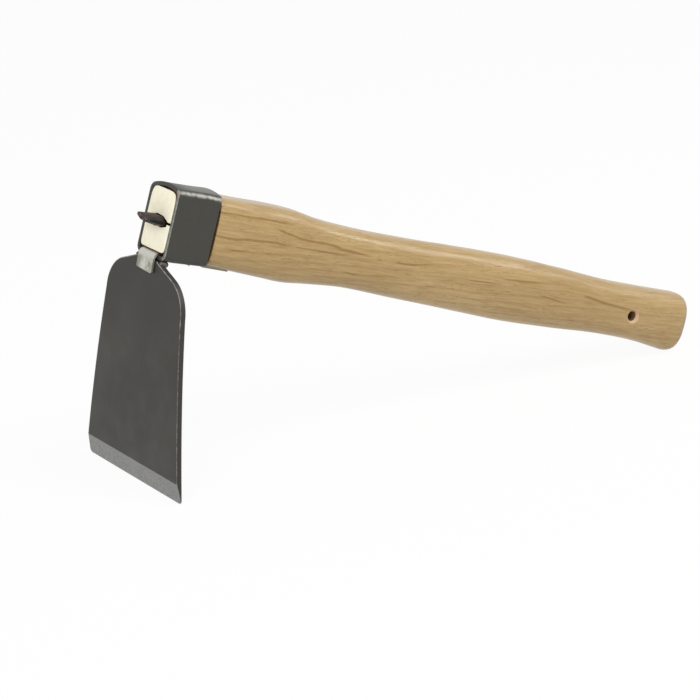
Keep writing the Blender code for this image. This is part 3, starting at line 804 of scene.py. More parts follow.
class MATTOCK_OT_socket(bpy.types.Operator):
    """Builds the bent steel band with rounded rims"""

    bl_idname = "mattock.socket"
    bl_label = "Socket"

    def execute(self, context):
        s = tool().socket
        r = s.rim_radius
        # Stations round the wall with their inset and wear: along the outside, round the rear rim,
        # back along the inside, round the front rim
        path = [(x, 0.0, 0.0) for x in np.linspace(r, s.length - r, 15)]
        path += [(s.length - r + r * math.sin(a), r - r * math.cos(a), 0.25) for a in arc(0, 90, 3)[1:]]
        path += [(s.length - r + r * math.cos(a), s.wall - r + r * math.sin(a), 0.1) for a in arc(0, 90, 3)]
        path += [(x, s.wall, 0.0) for x in np.linspace(s.length - r, r, 9)[1:]]
        path += [(r - r * math.sin(a), s.wall - r + r * math.cos(a), 0.8) for a in arc(0, 90, 3)[1:]]
        path += [(r - r * math.cos(a), r - r * math.sin(a), 1.0) for a in arc(0, 90, 3)[:-1]]
        rings = []
        wear = []
        top = []
        for x, inset, rim in path:
            outline = socket_section(x)
            y, z, polish_and_highlight = outline[:, 1], outline[:, 2], outline[:, 3]
            rings.append(np.column_stack((outline[:, 0], inward(outline[:, 1:3], inset))))
            near, far = (np.clip((side * y - s.width / 2 + 3.6 * MM) / (1.6 * MM), 0, 1) for side in (-1, 1))
            # The near rims are painted lighter than the far ones: wear, and a painted reflection of the
            # front light
            rim_wear_and_reflection = rim * (RIM_WEAR_AND_REFLECTION[0] * near + RIM_WEAR_AND_REFLECTION[1] * far)
            wear.append(np.maximum(rim_wear_and_reflection, polish_and_highlight if inset == 0.0 else 0.0))
            # The top's lighter grey is a painted sheen of light from above, partly rubbed; it fades towards
            # its bends and its front, and is weaker on the near side
            level = np.clip((z - socket_side(x) + 1.2 * MM) / (1.6 * MM), 0, 1)
            level *= np.clip((s.width / 2 - 2.6 * MM - np.abs(y)) / (1.4 * MM), 0, 1)
            level *= 0.8 + 0.4 * y / s.width
            top.append(level * clamp((x - 2 * MM) / (9 * MM)) if inset == 0.0 else 0.0 * z)
        # The side mark carries the painted sheen of the band's top
        obj = piece("socket_band", rings, True, 40.0, {"wear": wear, "side": top})
        finish = tool().finish
        hand_over(obj, "socket", "socket_steel",
                  oiled_steel("oiled_band_steel", finish.band, finish.band_light, finish.band_top))
        return {"FINISHED"}


# Blade


def blade_path(s):
    """Point (x, z) on the bowed front face at the distance s, and the tilt there."""
    b = tool().blade
    bow = b.length - b.bevel_length
    rate = (b.tilt_edge - b.tilt_top) / bow
    tilt = b.tilt_top + rate * min(s, bow)
    radius = 1.0 / rate
    past = max(s - bow, 0.0)
    x = radius * (math.cos(b.tilt_top) - math.cos(tilt)) + past * math.sin(tilt)
    z = -radius * (math.sin(tilt) - math.sin(b.tilt_top)) - past * math.cos(tilt)
    drop = tool().pose.gap + b.thickness * math.sin(b.tilt_top)
    return x - b.forward, z - drop, tilt


def blade_side():
    """One side of the blade's outline as (s, half width), from the neck to the edge."""
    b = tool().blade
    radius = b.shoulder_radius
    corner_y = b.neck_width / 2
    centre_y = b.shoulder_width / 2 - radius
    down = b.shoulder_depth - b.neck_depth
    out = centre_y - corner_y
    slope = math.atan2(out, down) + math.asin(radius / math.hypot(down, out))
    fillet = b.neck_fillet
    start_s = b.neck_depth - fillet * math.tan(slope / 2)
    points = [(0.0, corner_y)]
    for turn in np.linspace(0, slope, 6):
        points.append((start_s + fillet * math.sin(turn), corner_y + fillet - fillet * math.cos(turn)))
    last = points[-1]
    arc_s = b.shoulder_depth - radius * math.sin(slope)
    arc_y = centre_y + radius * math.cos(slope)
    for share in np.linspace(0, 1, 12)[1:-1]:
        points.append((lerp(last[0], arc_s, share), lerp(last[1], arc_y, share)))
    for turn in np.linspace(slope, 0, 25):
        points.append((b.shoulder_depth - radius * math.sin(turn), centre_y + radius * math.cos(turn)))
    bevel_s = b.length - b.bevel_length
    worn = b.corner_radius
    span = b.length - b.shoulder_depth
    stations = list(np.linspace(b.shoulder_depth, bevel_s, 31)[1:])
    stations += list(np.linspace(bevel_s, b.length - worn, 7)[1:])
    for s in stations:
        points.append((s, lerp(b.shoulder_width, b.edge_width, (s - b.shoulder_depth) / span) / 2))
    end_y = points[-1][1]
    for turn in arc(0, 84, 8)[1:]:
        points.append((b.length - worn + worn * math.sin(turn), end_y - worn + worn * math.cos(turn)))
    points.append((b.length, end_y - worn))
    return np.array(points)


class MATTOCK_OT_blade(bpy.types.Operator):
    """Builds the bowed plate with its rounded arrises and ground bevel"""

    bl_idname = "mattock.blade"
    bl_label = "Blade"

    def execute(self, context):
        b = tool().blade
        side = blade_side()
        _, normal = directions(side)
        normal[[0, -1]] = (0.0, 1.0)
        rings, wear, down, flank = [], [], [], []
        for station, outward in zip(side, normal):
            points = []
            for at, y, depth, worn, flat in self.section(*station, *outward):
                x, z, tilt = blade_path(at)
                points.append((x + math.cos(tilt) * depth, y, z + math.sin(tilt) * depth))
                wear.append(worn)
                flank.append(flat)
                down.append(at / MM if depth < 0.9 * b.thickness and flat == 0.0 else 0.0)
            rings.append(points)
        obj = piece("blade_plate", rings, False, 50.0, {"wear": wear, "down": down, "side": flank})
        self.crisp_bevel(obj.data, len(rings[0]), side[:, 0])
        finish = tool().finish
        coat = oiled_steel("oiled_plate_steel", finish.plate, finish.plate_light, finish.plate_side)
        grind_bevel(coat)
        hand_over(obj, "blade", "blade_steel", coat)
        return {"FINISHED"}

    def section(self, s, half, ns, ny):
        """Points (s, y, depth, wear, flank) round the plate at one station, front face first.

        The wear stays on the arrises, held there by a row of points just inside them.
        """
        b = tool().blade
        r = min(b.arris, 0.45 * (b.thickness - self.ground_away(s)))
        ends = s <= 0.0 or s >= b.length
        inset = 0.0 if ends else r
        guard = inset + GUARD
        worn = lerp(*PLATE_WEAR, clamp(s / SHOULDER_WEAR_END))
        edge = list(enumerate((inset * (1 - math.sin(a)), r * (1 - math.cos(a))) for a in arc(0, 90, 3)))
        rim = [(guard, 0.0, 0.0, 0.0, 0.0)]
        rim += [(out, deep, 0.0, worn * math.cos(0.5 * i), float(i == 3)) for i, (out, deep) in edge]
        rim += [(out, deep, 1.0, 0.1, float(i == 3)) for i, (out, deep) in reversed(edge)]
        rim += [(guard, 0.0, 1.0, 0.0, 0.0)]
        right = []
        for out, deep, rear, wear, flat in rim:
            at = s - ns * out
            depth = b.thickness - deep if rear else self.ground_away(at) + deep
            right.append((at, half - ny * out, depth, wear, flat))
        left = [(at, -y, depth, wear, flat) for at, y, depth, wear, flat in reversed(right)]
        at, y, depth = right[0][:3]
        across = np.linspace(-y, y, FACE_COLUMNS + 2)[1:-1]
        front = [(at, each, depth, 0.0, 0.0) for each in across]
        rear = [(at, each, b.thickness, 0.0, 0.0) for each in across[::-1]]
        return front + right + rear + left

    def ground_away(self, s):
        """Depth taken off the front by the bevel."""
        b = tool().blade
        return (b.thickness - b.edge_land) * clamp((s - b.length + b.bevel_length) / b.bevel_length)

    def crisp_bevel(self, mesh, columns, stations):
        """Marks the upper line of the bevel as sharp."""
        b = tool().blade
        row = int(np.argmin(np.abs(stations - (b.length - b.bevel_length))))
        first = row * columns
        sharp = mesh.attributes.get("sharp_edge") or mesh.attributes.new("sharp_edge", "BOOLEAN", "EDGE")
        for edge in mesh.edges:
            low, high = sorted(edge.vertices)
            if first <= low and high <= first + FACE_COLUMNS:
                sharp.data[edge.index].value = True


# Weld


def node_tree_for(name, inputs):
    """Geometry Nodes tree, what adds nodes to it, its inputs and its output node."""
    tree = bpy.data.node_groups.new(name, "GeometryNodeTree")
    face = tree.interface
    face.new_socket("Geometry", in_out="INPUT", socket_type="NodeSocketGeometry")
    for label, kind in inputs:
        face.new_socket(label, in_out="INPUT", socket_type=kind)
    face.new_socket("Geometry", in_out="OUTPUT", socket_type="NodeSocketGeometry")
    add = partial(add_node, tree)
    return tree, add, add("NodeGroupInput").outputs, add("NodeGroupOutput")


def finish_tree(add, given, result, geometry):
    """Ends a tree: its instances made real, and its finish on every face."""
    real = add("GeometryNodeRealizeInstances", geometry)
    coated = add("GeometryNodeSetMaterial", Geometry=real, Material=given["Finish"])
    feed(result, coated)


def grown(name, points, chained, tree, values, material):
    """Plain mesh object that a Geometry Nodes tree makes from points in the tool's axes."""
    mesh = bpy.data.meshes.new(name)
    edges = [(i, i + 1) for i in range(len(points) - 1)] if chained else []
    mesh.from_pydata(to_row(points).tolist(), edges, [])
    obj = put_in_scene(name, mesh)
    modifier = obj.modifiers.new(name, "NODES")
    modifier.node_group = tree
    ids = {item.name: item.identifier for item in tree.interface.items_tree if item.in_out == "INPUT"}
    for label, value in values.items():
        modifier[ids[label]] = value
    modifier[ids["Finish"]] = material
    obj.update_tag()
    bake(obj)
    obj.data.name = name
    if not obj.data.polygons:
        raise RuntimeError(f"the nodes of {name} made no faces")
    smooth(obj, 50)
    return obj


def rounded_end(add, run, total, radius, full=1.0):
    """Share that closes along a quarter circle over the last radius at both ends of a path.

    A full above 1 leaves the ends a little width.
    """
    nearest = add(SMALLER, add(MINUS, total, run), run)
    short = add(RANGE, Value=nearest, From_Max=radius, To_Min=1.0, To_Max=0.0)
    return add(ROOT, add(MINUS, full, add(TIMES, short, short)))


def bead_tree():
    """Round-ended bead along a path, swelling with each ripple that the welder's hand left."""
    tree, add, given, result = node_tree_for("weld bead", (
        ("Radius", "NodeSocketFloat"), ("Pitch", "NodeSocketFloat"), ("Ripple", "NodeSocketFloat"),
        ("Finish", "NodeSocketMaterial")))
    path = add("GeometryNodeMeshToCurve", given["Geometry"])
    path = add(("GeometryNodeCurveSplineType", {"spline_type": "CATMULL_ROM"}), Curve=path)
    path = add(("GeometryNodeResampleCurve", {"mode": "LENGTH"}), Curve=path, Length=0.15 * MM)
    along = add("GeometryNodeSplineParameter")
    run = along.outputs["Length"]
    wobble = add("ShaderNodeTexNoise", Scale=500.0)
    turns = add(FRACTION, add(PLUS, add(OVER, run, given["Pitch"]), wobble))
    swell = add(MINUS, 1.0, add(TIMES, turns, given["Ripple"]))
    total = add("GeometryNodeCurveLength", Curve=path)
    bulge = rounded_end(add, run, total, given["Radius"], 1.02)
    radius = add(TIMES, add(TIMES, swell, given["Radius"]), bulge)
    ring = add("GeometryNodeCurvePrimitiveCircle", Resolution=20, Radius=1.0)
    body = add("GeometryNodeCurveToMesh", Curve=path, Profile_Curve=ring, Fill_Caps=True, Scale=radius)
    finish_tree(add, given, result, body)
    return tree


def spatter_tree():
    """Small beads of weld at the points it is given."""
    tree, add, given, result = node_tree_for("weld spatter", (
        ("Size", "NodeSocketFloat"), ("Seed", "NodeSocketInt"), ("Finish", "NodeSocketMaterial")))
    seats = add("GeometryNodeMeshToPoints", Mesh=given["Geometry"])
    share = add(("FunctionNodeRandomValue", {"data_type": "FLOAT"}), Min=0.4, Max=1.0, Seed=given["Seed"])
    width = add(TIMES, share, given["Size"])
    ball = add("GeometryNodeMeshIcoSphere", Radius=0.5, Subdivisions=3)
    beads = add("GeometryNodeInstanceOnPoints", Points=seats, Instance=ball, Scale=width)
    finish_tree(add, given, result, beads)
    return tree


class MATTOCK_OT_weld(bpy.types.Operator):
    """Builds the rippled bead round the neck, and its spatter"""

    bl_idname = "mattock.weld"
    bl_label = "Weld"

    def execute(self, context):
        w = tool().weld
        coat = weld_metal()
        near = [(x * MM, -y * MM, -w.drop * w.bead) for x, y in WELD_PATH]
        path = near + [(x, -y, z) for x, y, z in near[-2::-1]]
        bead = grown("weld_bead", path, True, bead_tree(), {
            "Radius": w.bead / 2, "Pitch": w.pitch, "Ripple": w.ripple}, coat)
        hand_over(bead, "neck_weld", "weld_steel", coat)
        rng = np.random.default_rng(w.seed)
        # One drop beside the near side, the others anywhere under the socket
        seats = [(17.5 * MM, -12.6 * MM)]
        for _ in range(w.spatter):
            seats.append((rng.uniform(7, 24) * MM, rng.uniform(-12, 12) * MM))
        seats = [(x, y, socket_floor(x) - 0.05 * MM) for x, y in seats]
        drops = grown("weld_spatter", seats, False, spatter_tree(), {
            "Size": w.spatter_size, "Seed": w.size_seed}, coat)
        hand_over(drops, None, "weld_steel", coat)
        return {"FINISHED"}


# Handle


def tenon_bottom(x):
    return socket_floor(x) + tool().socket.wall + 2 * tool().pose.gap + tool().strap.thickness


def tenon_top(x):
    """Crest of the tenon, below the crest of the socket's inside."""
    return socket_side(x) + socket_crown(x) - tool().socket.wall - tool().handle.tenon_clearance


def kerf_height():
    return (tenon_bottom(0.0) + tenon_top(0.0)) / 2 - tool().handle.kerf_drop


def grip_rows():
    """Handle sections from the shoulder on: x, middle height, height, width, squareness."""
    s = tool().socket
    h = tool().handle
    start = s.length + h.shoulder_gap
    span = h.reach - h.dome - start
    side = socket_side(s.length)
    top = side - h.shoulder_top_drop
    bottom = s.rear_lift - h.shoulder_drop
    middle = (s.rear_lift + side) / 2
    rows = [(start, (top + bottom) / 2, top - bottom, s.width - 2 * tool().pose.gap, GRIP_SECTIONS[0][4])]
    for share, drop, height, width, squareness in GRIP_SECTIONS:
        rows.append((start + span * share, middle - drop * MM, height * MM, width * MM, squareness))
    return np.array(rows)


def grip_at(x, rows):
    """Smooth reading of the handle's sections at x, by cubic Hermite pieces."""
    xs = rows[:, 0]
    values = rows[:, 1:]
    slopes = np.gradient(values, xs, axis=0)
    i = int(np.clip(np.searchsorted(xs, x) - 1, 0, len(xs) - 2))
    step = xs[i + 1] - xs[i]
    u = (x - xs[i]) / step
    return ((1 + 2 * u) * (1 - u) ** 2 * values[i] + u * (1 - u) ** 2 * step * slopes[i]
            + u * u * (3 - 2 * u) * values[i + 1] + u * u * (u - 1) * step * slopes[i + 1])


def rounded_ring(x, middle, half_height, half_width, upper, lower):
    """Superellipse across the handle, with its squareness above and below the middle."""
    turn = np.radians((np.arange(4 * QUARTER_POINTS) + 0.5) * 90 / QUARTER_POINTS)
    c = np.cos(turn)
    s = np.sin(turn)
    power = 2 / np.where(s > 0, upper, lower)
    y = np.copysign(np.abs(c) ** power, c) * half_width
    z = np.copysign(np.abs(s) ** power, s) * half_height
    return np.column_stack((np.full(len(turn), x), y, middle + z))


def tenon_ring(x, station, inset=0.0):
    """Section of the tenon at x, sized for the socket's own section at the station."""
    h = tool().handle
    bottom = tenon_bottom(station)
    top = tenon_top(station)
    half = tool().socket.width / 2 - tool().socket.wall - tool().pose.gap
    return rounded_ring(
        x, (bottom + top) / 2, (top - bottom) / 2 - inset, half - inset, h.tenon_top, h.tenon_floor)


class MATTOCK_OT_handle(bpy.types.Operator):
    """Builds the oak handle: tenon, shoulder, grip and butt, with its cuts"""

    bl_idname = "mattock.handle"
    bl_label = "Handle"

    def execute(self, context):
        rows = grip_rows()
        obj = piece("oak_handle", self.body(rows))
        kerf = kerf_height()
        half = tool().handle.kerf / 2
        depth = tool().handle.kerf_depth
        past = 20 * MM
        slot = [[(x, -past, kerf - half), (x, past, kerf - half), (x, past, kerf + half),
                 (x, -past, kerf + half)] for x in (-5 * MM, depth)]
        cut(obj, piece("kerf_saw", slot))
        cut(obj, wedge_piece("wedge_pocket", POCKET_ROOM, 0.0))
        cut(obj, self.groove())
        cut(obj, self.drill(rows))
        smooth(obj, 30)
        finish = tool().finish
        hand_over(
            obj, "handle", "lacquered_wood",
            oak("lacquered_oak", finish.oak, finish.oak_dark, finish.oak_pore, 1.0, Roughness=0.5,
                Specular_IOR_Level=0.3, Coat_Weight=0.6, Coat_Roughness=0.22),
            oak("sawn_oak", finish.sawn, finish.sawn_dark, finish.sawn_pore, 0.4, 5.0, 0.5, Roughness=0.75),
            # Dark oak as painted shade for the tenon's flanks and the shoulder in the gap behind the band
            oak("stained_oak", finish.gap_shade_light, finish.gap_shade, finish.gap_shade, 0.9, Roughness=0.8),
            oak("broken_oak_edge", finish.ring, finish.ring_dark, finish.ring_dark, 0.7, Roughness=0.6),
            oak("drilled_oak", finish.bore, finish.bore_dark, finish.bore_dark, 0.9, 4.0, 0.5,
                Roughness=0.7))
        self.cut_faces(obj.data, rows)
        return {"FINISHED"}

    def body(self, rows):
        """Rings of the handle before its cuts."""
        s = tool().socket
        h = tool().handle
        start = rows[0, 0]
        rings = []
        for a in arc(0, 90, 3):
            rings.append(tenon_ring(h.tenon_edge * (1 - math.cos(a)), 0.0, h.tenon_edge * (1 - math.sin(a))))
        for x in (0.25 * s.length, 0.5 * s.length, s.length, start):
            rings.append(tenon_ring(x, min(x, s.length)))
        middle, height, width, square = grip_at(start, rows)
        for a in arc(0, 90, 5):
            inset = h.shoulder_chamfer * (1 - math.sin(a))
            x = start + h.shoulder_chamfer * (1 - math.cos(a))
            rings.append(rounded_ring(x, middle, height / 2 - inset, width / 2 - inset, square, square))
        first = start + h.shoulder_chamfer
        end = h.reach - h.dome
        for x in np.linspace(first, end, GRIP_RINGS)[1:]:
            middle, height, width, square = grip_at(x, rows)
            ring = rounded_ring(x, middle, height / 2, width / 2, square, square)
            calm = math.sin(math.pi * (x - first) / (end - first))
            rings.append(self.wavered(ring, middle, calm))
        for a in arc(0, 83, 18)[1:]:
            depth = math.sin(a)
            tall = height / 2 * (1 - depth ** h.dome_power) ** (1 / h.dome_power)
            wide = width / 2 * (1 - depth ** h.side_power) ** (1 / h.side_power)
            rings.append(rounded_ring(end + h.dome * depth, middle, tall, wide, square, square))
        return rings

    def wavered(self, ring, middle, share):
        """The ring pressed in and out a little, as sanding by hand leaves it."""
        spread = (0.05, 0.16, 0.16)
        for point in ring:
            place = Vector(point / MM)
            push = noise.noise(Vector([a * b for a, b in zip(place, spread)])) * tool().handle.waver * share
            away = Vector((0.0, point[1], point[2] - middle)).normalized()
            point += np.array(away) * push
        return ring

    def groove(self):
        """Channel for the strap under the shoulder."""
        t = tool().strap
        half_y = t.width / 2 + GROOVE_ROOM[0]
        half_t = t.thickness / 2 + GROOVE_ROOM[1]
        line = strap_line()
        back = line[line[:, 0] > tool().socket.length - 0.4 * MM]
        along, normal = directions(back)
        back[-1] += along[-1] * 0.3 * MM
        rings = []
        for (x, z), (nx, nz) in zip(back, normal):
            rings.append([(x + nx * a * half_t, b * half_y, z + nz * a * half_t)
                          for a, b in ((-1, -1), (-1, 1), (1, 1), (1, -1))])
        return piece("groove", rings)

    def drill(self, rows):
        """Hanging hole with its edges broken by a larger drill."""
        x, z, width = self.hole_place(rows)
        h = tool().handle
        r = h.hole / 2
        past = 2 * h.hole_sink
        rings = []
        for side in (-1, 1):
            for out, radius in ((width / 2 + past, r + h.hole_sink + past), (width / 2 - h.hole_sink, r),
                                (width / 2 - 2.6 * h.hole_sink, r))[::-side]:
                rings.append([(x + radius * math.cos(a), side * out, z + radius * math.sin(a))
                              for a in arc(0, 360, 48)[:-1]])
        return piece("drill", rings)

    def hole_place(self, rows):
        h = tool().handle
        x = h.reach - h.hole_inset
        middle, _, width, _ = grip_at(x, rows)
        return x, middle - h.hole_drop, width

    def cut_faces(self, mesh, rows):
        """Gives the tenon's end and flanks, the shoulder, the bore and the broken edge their finishes."""
        h = tool().handle
        pose = tool().pose
        turn = Matrix.Rotation(-pose.tilt, 3, "Y")
        hole_x, hole_z, _ = self.hole_place(rows)
        start = rows[0, 0]
        for face in mesh.polygons:
            x, _, z = turn @ (face.center - Vector(pose.origin))
            from_hole = math.hypot(x - hole_x, z - hole_z)
            across = abs((turn @ face.normal).y) < 0.93
            # The tenon's flanks and the shoulder get the dark oak, as painted shade in the gap behind the
            # band
            if x < start - 2.5 * MM:
                face.material_index = 1 if x < 0.35 * MM else 2
            elif x < start + 0.2 * MM:
                face.material_index = 2
            elif from_hole < h.hole / 2 + 0.15 * MM:
                face.material_index = 4
            elif from_hole < h.hole / 2 + h.hole_sink + 0.4 * MM and across:
                face.material_index = 3


# Wedge


def wedge_piece(name, swell, dent):
    """Flat forged wedge with thinned long edges, thickest where it enters the wood.

    The swell makes it larger all round, for its pocket. The dent is the depth of the
    hammer's marks.
    """
    w = tool().wedge
    proud = [(-w.stand_out - swell, w.head, w.rise)]
    for share in np.linspace(0, 1, 17)[1:]:
        x = -w.stand_out * (1 - share)
        proud.append((x, lerp(w.head, w.thickness, clamp(share / 0.6)), w.rise * (1 - share)))
    buried = [(w.driven * share, lerp(w.thickness, w.tip, share), 0.0) for share in (0.15, 0.4, 0.7)]
    stations = proud + buried + [(w.driven + swell, w.tip, 0.0)]
    half = w.width / 2 + swell
    kerf = kerf_height()
    noise.seed_set(w.seed)
    rings = []
    wear = []
    for x, thickness, rise in stations:
        struck = clamp(1 - (x + w.stand_out) / STRUCK) if dent else 0.0
        full = thickness / 2 + swell
        thin = thickness / 2 * w.edge + swell
        quarter = [(half, share * thin) for share in (0.0, 0.5, 0.85)]
        quarter += [(half * across, lerp(thin, full, (1 - across) / (1 - w.flat))) for across in
                    np.linspace(0.985, w.flat, 6)]
        quarter += [(half * across, full) for across in (0.3, 0.15, 0.0)]
        upper = quarter + [(-y, z) for y, z in quarter[-2::-1]]
        outline = upper + [(y, -z) for y, z in upper[-2:0:-1]]
        ring = []
        for y, z in outline:
            shrink = 1 - DRAWN_IN * struck ** 2
            place = Vector((x, y, 1.5 * z)) / w.dent_width
            push = dent * noise.noise_vector(place)
            y, z = y * shrink + 0.4 * push.y, z * shrink + rise + push.z
            ring.append((x + (0.0 if struck else 0.3 * push.x),
                         y * math.cos(w.roll) - z * math.sin(w.roll) - w.offset - 0.8 * swell,
                         y * math.sin(w.roll) + z * math.cos(w.roll) + kerf))
            wear.append(0.7 * struck + (0.35 if abs(y) > 0.9 * half else 0.0))
        rings.append(ring)
    return piece(name, rings, False, 34.0, {"wear": wear})


class MATTOCK_OT_wedge(bpy.types.Operator):
    """Builds the forged iron wedge with its hammered faces"""

    bl_idname = "mattock.wedge"
    bl_label = "Wedge"

    def execute(self, context):
        wedge = wedge_piece("iron_wedge", 0.0, tool().wedge.dent)
        hand_over(wedge, "kerf_wedge", "forged_iron", forged_iron())
        return {"FINISHED"}


# Strap


def strap_line():
    """Points (x, z) along the middle of the strap's thickness, lip first."""
    t = tool().strap
    b = tool().blade
    s = tool().socket
    gap = tool().pose.gap
    seat = s.wall + gap + t.thickness / 2
    lip_x = -b.forward - gap - t.thickness / 2
    foot = np.array((lip_x + (t.lip_depth - seat) * math.sin(b.tilt_top), -t.lip_depth))
    bend = np.array((lip_x + t.lip_bend, seat - t.lip_bend))
    points = [lerp(foot, np.array((lip_x, bend[1])), share) for share in np.linspace(0, 1, 40)[:-1]]
    for a in arc(0, 90, 12):
        points.append(bend + t.lip_bend * np.array((-math.cos(a), math.sin(a))))
    drop_x = s.length + gap + t.thickness / 2
    radius = t.rear_bend
    run_end = np.array((drop_x - radius, seat + s.rear_lift))
    points += [lerp(points[-1], run_end, share) for share in np.linspace(0, 1, 9)[1:-1]]
    for a in arc(0, 90, 8):
        points.append(run_end + radius * np.array((math.sin(a), math.cos(a) - 1)))
    for a in arc(0, 90, 8):
        drop = radius - radius * math.sin(a) - t.tail_start
        points.append(np.array((drop_x + radius - radius * math.cos(a), drop)))
    tail = np.array((drop_x + radius + t.tail, -t.tail_end))
    points += [lerp(points[-1], tail, share) for share in np.linspace(0, 1, 40)[1:]]
    return np.array(points)


def strip_tree():
    """Strip of metal with rounded corners that follows a bent path, its first end cut at a slant."""
    tree, add, given, result = node_tree_for("bent strip", (
        ("Width", "NodeSocketFloat"), ("Thickness", "NodeSocketFloat"), ("Corner", "NodeSocketFloat"),
        ("Slant", "NodeSocketVector"), ("Finish", "NodeSocketMaterial")))
    path = add("GeometryNodeMeshToCurve", given["Geometry"])
    along = add("GeometryNodeSplineParameter")
    total = add("GeometryNodeCurveLength", Curve=path)
    kept = add("GeometryNodeCaptureAttribute")
    kept.capture_items.new("FLOAT", "Run")
    feed(kept, Geometry=path, Run=along.outputs["Length"])
    level = add("GeometryNodeSetCurveNormal", Curve=kept.outputs["Geometry"])
    section = add(
        "GeometryNodeCurvePrimitiveQuadrilateral", Width=given["Width"], Height=given["Thickness"])
    section = add(("GeometryNodeResampleCurve", {"mode": "LENGTH"}), Curve=section, Length=0.4 * MM)
    body = add("GeometryNodeCurveToMesh", Curve=level, Profile_Curve=section, Fill_Caps=True)
    # The strip narrows towards both ends by what its rounded corners take off
    run = kept.outputs["Run"]
    bulge = rounded_end(add, run, total, given["Corner"])
    cut_off = add(TIMES, add(MINUS, 1.0, bulge), given["Corner"])
    split = add(SPLIT, add("GeometryNodeInputPosition"))
    across = add(OVER, split.outputs["Y"], given["Width"])
    narrow = add(JOIN, Y=add(TIMES, add(TIMES, across, cut_off), -2.0))
    # The slant fades out over the first 5 mm from the lip's end
    fade = add(SOFT_RANGE, Value=run, From_Max=5.0 * MM, To_Min=-2.0, To_Max=0.0)
    slant = add(RESIZE, given["Slant"], Scale=add(TIMES, fade, across))
    shaped = add("GeometryNodeSetPosition", Geometry=body, Offset=add(SHIFT, narrow, slant))
    # The finish reads how far along the strip a place is, in millimetres
    reach = add(OVER, run, MM)
    marked = add(
        ("GeometryNodeStoreNamedAttribute", {"data_type": "FLOAT", "domain": "POINT"}), Geometry=shaped,
        Name="run", Value=reach)
    finish_tree(add, given, result, marked)
    return tree


class MATTOCK_OT_strap(bpy.types.Operator):
    """Builds the zinc strap from one strip along its bent path"""

    bl_idname = "mattock.strap"
    bl_label = "Strap"

    def execute(self, context):
        t = tool().strap
        coat = zinc_plating()
        line = strap_line()
        out = line[0] - line[1]
        out = out / np.linalg.norm(out) * t.slant
        ends = to_row([(0.0, 0.0, 0.0), (out[0], 0.0, out[1])])
        strip = grown("zinc_strap", [(x, 0.0, z) for x, z in line], True, strip_tree(), {
            "Width": t.width, "Thickness": t.thickness, "Corner": t.corner,
            "Slant": tuple(ends[1] - ends[0])}, coat)
        hand_over(strip, "retaining_strap", "zinc_plate", coat)
        return {"FINISHED"}


# Studio


def seen_directly(add):
    """Share that is 1 for the camera and for what metal and glass reflect, and 0 for the light itself."""
    ray = add("ShaderNodeLightPath")
    seen = add(LARGER, ray.outputs["Is Camera Ray"], ray.outputs["Is Glossy Ray"])
    return add(LARGER, seen, ray.outputs["Is Transmission Ray"])


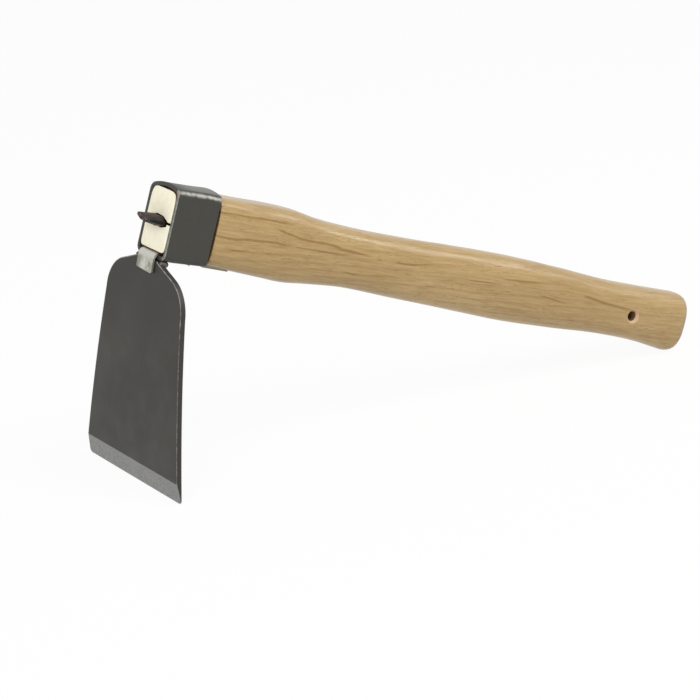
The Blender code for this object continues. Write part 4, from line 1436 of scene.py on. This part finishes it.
class MATTOCK_OT_studio(bpy.types.Operator):
    """Builds the pale floor, the lamps, the white surroundings and the camera"""

    bl_idname = "mattock.studio"
    bl_label = "Studio"

    def execute(self, context):
        scene = context.scene
        scene.view_settings.view_transform = "Standard"
        self.floor()
        self.surroundings(scene)
        studio = tool().studio
        self.lamp("key_softbox", (-1.2, -0.8, 0.85), 1.1, studio.key)
        self.lamp("top_softbox", (0.35, -0.75, 1.5), 1.0, studio.top)
        self.lamp("kicker_softbox", (1.4, -0.62, 0.92), 0.46, studio.kicker)
        self.camera(scene)
        return {"FINISHED"}

    def floor(self):
        """Matt white board; the camera sees it nearly white, with the tool's faint shadow."""
        studio = tool().studio
        mesh = bpy.data.meshes.new("floor")
        r = 4.0
        mesh.from_pydata([(-r, -r, 0.0), (r, -r, 0.0), (r, r, 0.0), (-r, r, 0.0)], [], [(0, 1, 2, 3)])
        board = put_in_scene("floor", mesh)
        material = bpy.data.materials.new("matt_white_board")
        material.use_nodes = True
        material.node_tree.nodes.clear()
        add = partial(add_node, material.node_tree)
        glow = add(TIMES, seen_directly(add), studio.board_glow)
        matt = add("ShaderNodeBsdfDiffuse", Color=studio.board)
        white = add("ShaderNodeEmission", Color=(1, 1, 1, 1), Strength=1.0)
        mixed = add("ShaderNodeMixShader", glow, matt, white)
        add("ShaderNodeOutputMaterial", Surface=mixed)
        mesh.materials.append(material)

    def surroundings(self, scene):
        world = bpy.data.worlds.new("white_room")
        scene.world = world
        world.use_nodes = True
        world.node_tree.nodes.clear()
        add = partial(add_node, world.node_tree)
        strength = add(RANGE, Value=seen_directly(add), To_Min=tool().studio.sky)
        light = add("ShaderNodeBackground", Color=(1, 1, 1, 1), Strength=strength)
        add("ShaderNodeOutputWorld", Surface=light)

    def lamp(self, name, place, width, power):
        lamp = bpy.data.lights.new(name, "AREA")
        lamp.shape = "DISK"
        lamp.size = width
        lamp.energy = power
        obj = put_in_scene(name, lamp)
        obj.location = place
        obj.rotation_euler = (LAMP_AIM - Vector(place)).to_track_quat("-Z", "Y").to_euler()

    def camera(self, scene):
        """Long lens at the photograph's angle, aimed from the tool's own origin."""
        studio = tool().studio
        a, e, r = studio.azimuth, studio.elevation, studio.roll
        back = Vector((math.sin(a) * math.cos(e), -math.cos(a) * math.cos(e), math.sin(e)))
        right = Vector((math.cos(a), math.sin(a), 0.0))
        up = back.cross(right)
        right = Matrix.Rotation(r, 3, back) @ right
        up = Matrix.Rotation(r, 3, back) @ up
        place = Vector(tool().pose.origin) + back * studio.distance
        place += right * studio.across + up * studio.above
        lens = bpy.data.cameras.new("photo_camera")
        lens.lens = studio.lens
        lens.sensor_width = 36.0
        lens.clip_end = 20.0
        camera = put_in_scene("photo_camera", lens)
        turn = Matrix((right, up, back)).transposed()
        camera.matrix_world = Matrix.Translation(place) @ turn.to_4x4()
        scene.camera = camera


class MattockSettings(bpy.types.PropertyGroup):
    """All the sizes and colours of the mattock."""

    pose: PointerProperty(type=ToolPose)
    socket: PointerProperty(type=SocketSizes)
    blade: PointerProperty(type=BladeSizes)
    weld: PointerProperty(type=WeldSizes)
    handle: PointerProperty(type=HandleSizes)
    wedge: PointerProperty(type=WedgeSizes)
    strap: PointerProperty(type=StrapSizes)
    finish: PointerProperty(type=Finishes)
    studio: PointerProperty(type=StudioSettings)


class MATTOCK_PT_pieces(bpy.types.Panel):
    """Lists the pieces of the mattock"""

    bl_label = "Hand mattock"
    bl_idname = "MATTOCK_PT_pieces"
    bl_space_type = "VIEW_3D"
    bl_region_type = "UI"
    bl_category = "Mattock"

    def draw(self, context):
        for operator in OPERATORS:
            self.layout.operator(operator.bl_idname)


GROUPS = (ToolPose, SocketSizes, BladeSizes, WeldSizes, HandleSizes, WedgeSizes, StrapSizes, Finishes,
          StudioSettings, MattockSettings)
OPERATORS = (MATTOCK_OT_socket, MATTOCK_OT_blade, MATTOCK_OT_weld, MATTOCK_OT_handle, MATTOCK_OT_wedge,
             MATTOCK_OT_strap, MATTOCK_OT_studio)


def register():
    for item in (*GROUPS, *OPERATORS, MATTOCK_PT_pieces):
        bpy.utils.register_class(item)
    bpy.types.Scene.mattock = PointerProperty(type=MattockSettings)


def unregister():
    del bpy.types.Scene.mattock
    for item in reversed((*GROUPS, *OPERATORS, MATTOCK_PT_pieces)):
        bpy.utils.unregister_class(item)


def main():
    register()
    bpy.ops.mattock.socket()
    bpy.ops.mattock.blade()
    bpy.ops.mattock.weld()
    bpy.ops.mattock.handle()
    bpy.ops.mattock.wedge()
    bpy.ops.mattock.strap()
    bpy.ops.mattock.studio()


if __name__ == "__main__":
    main()
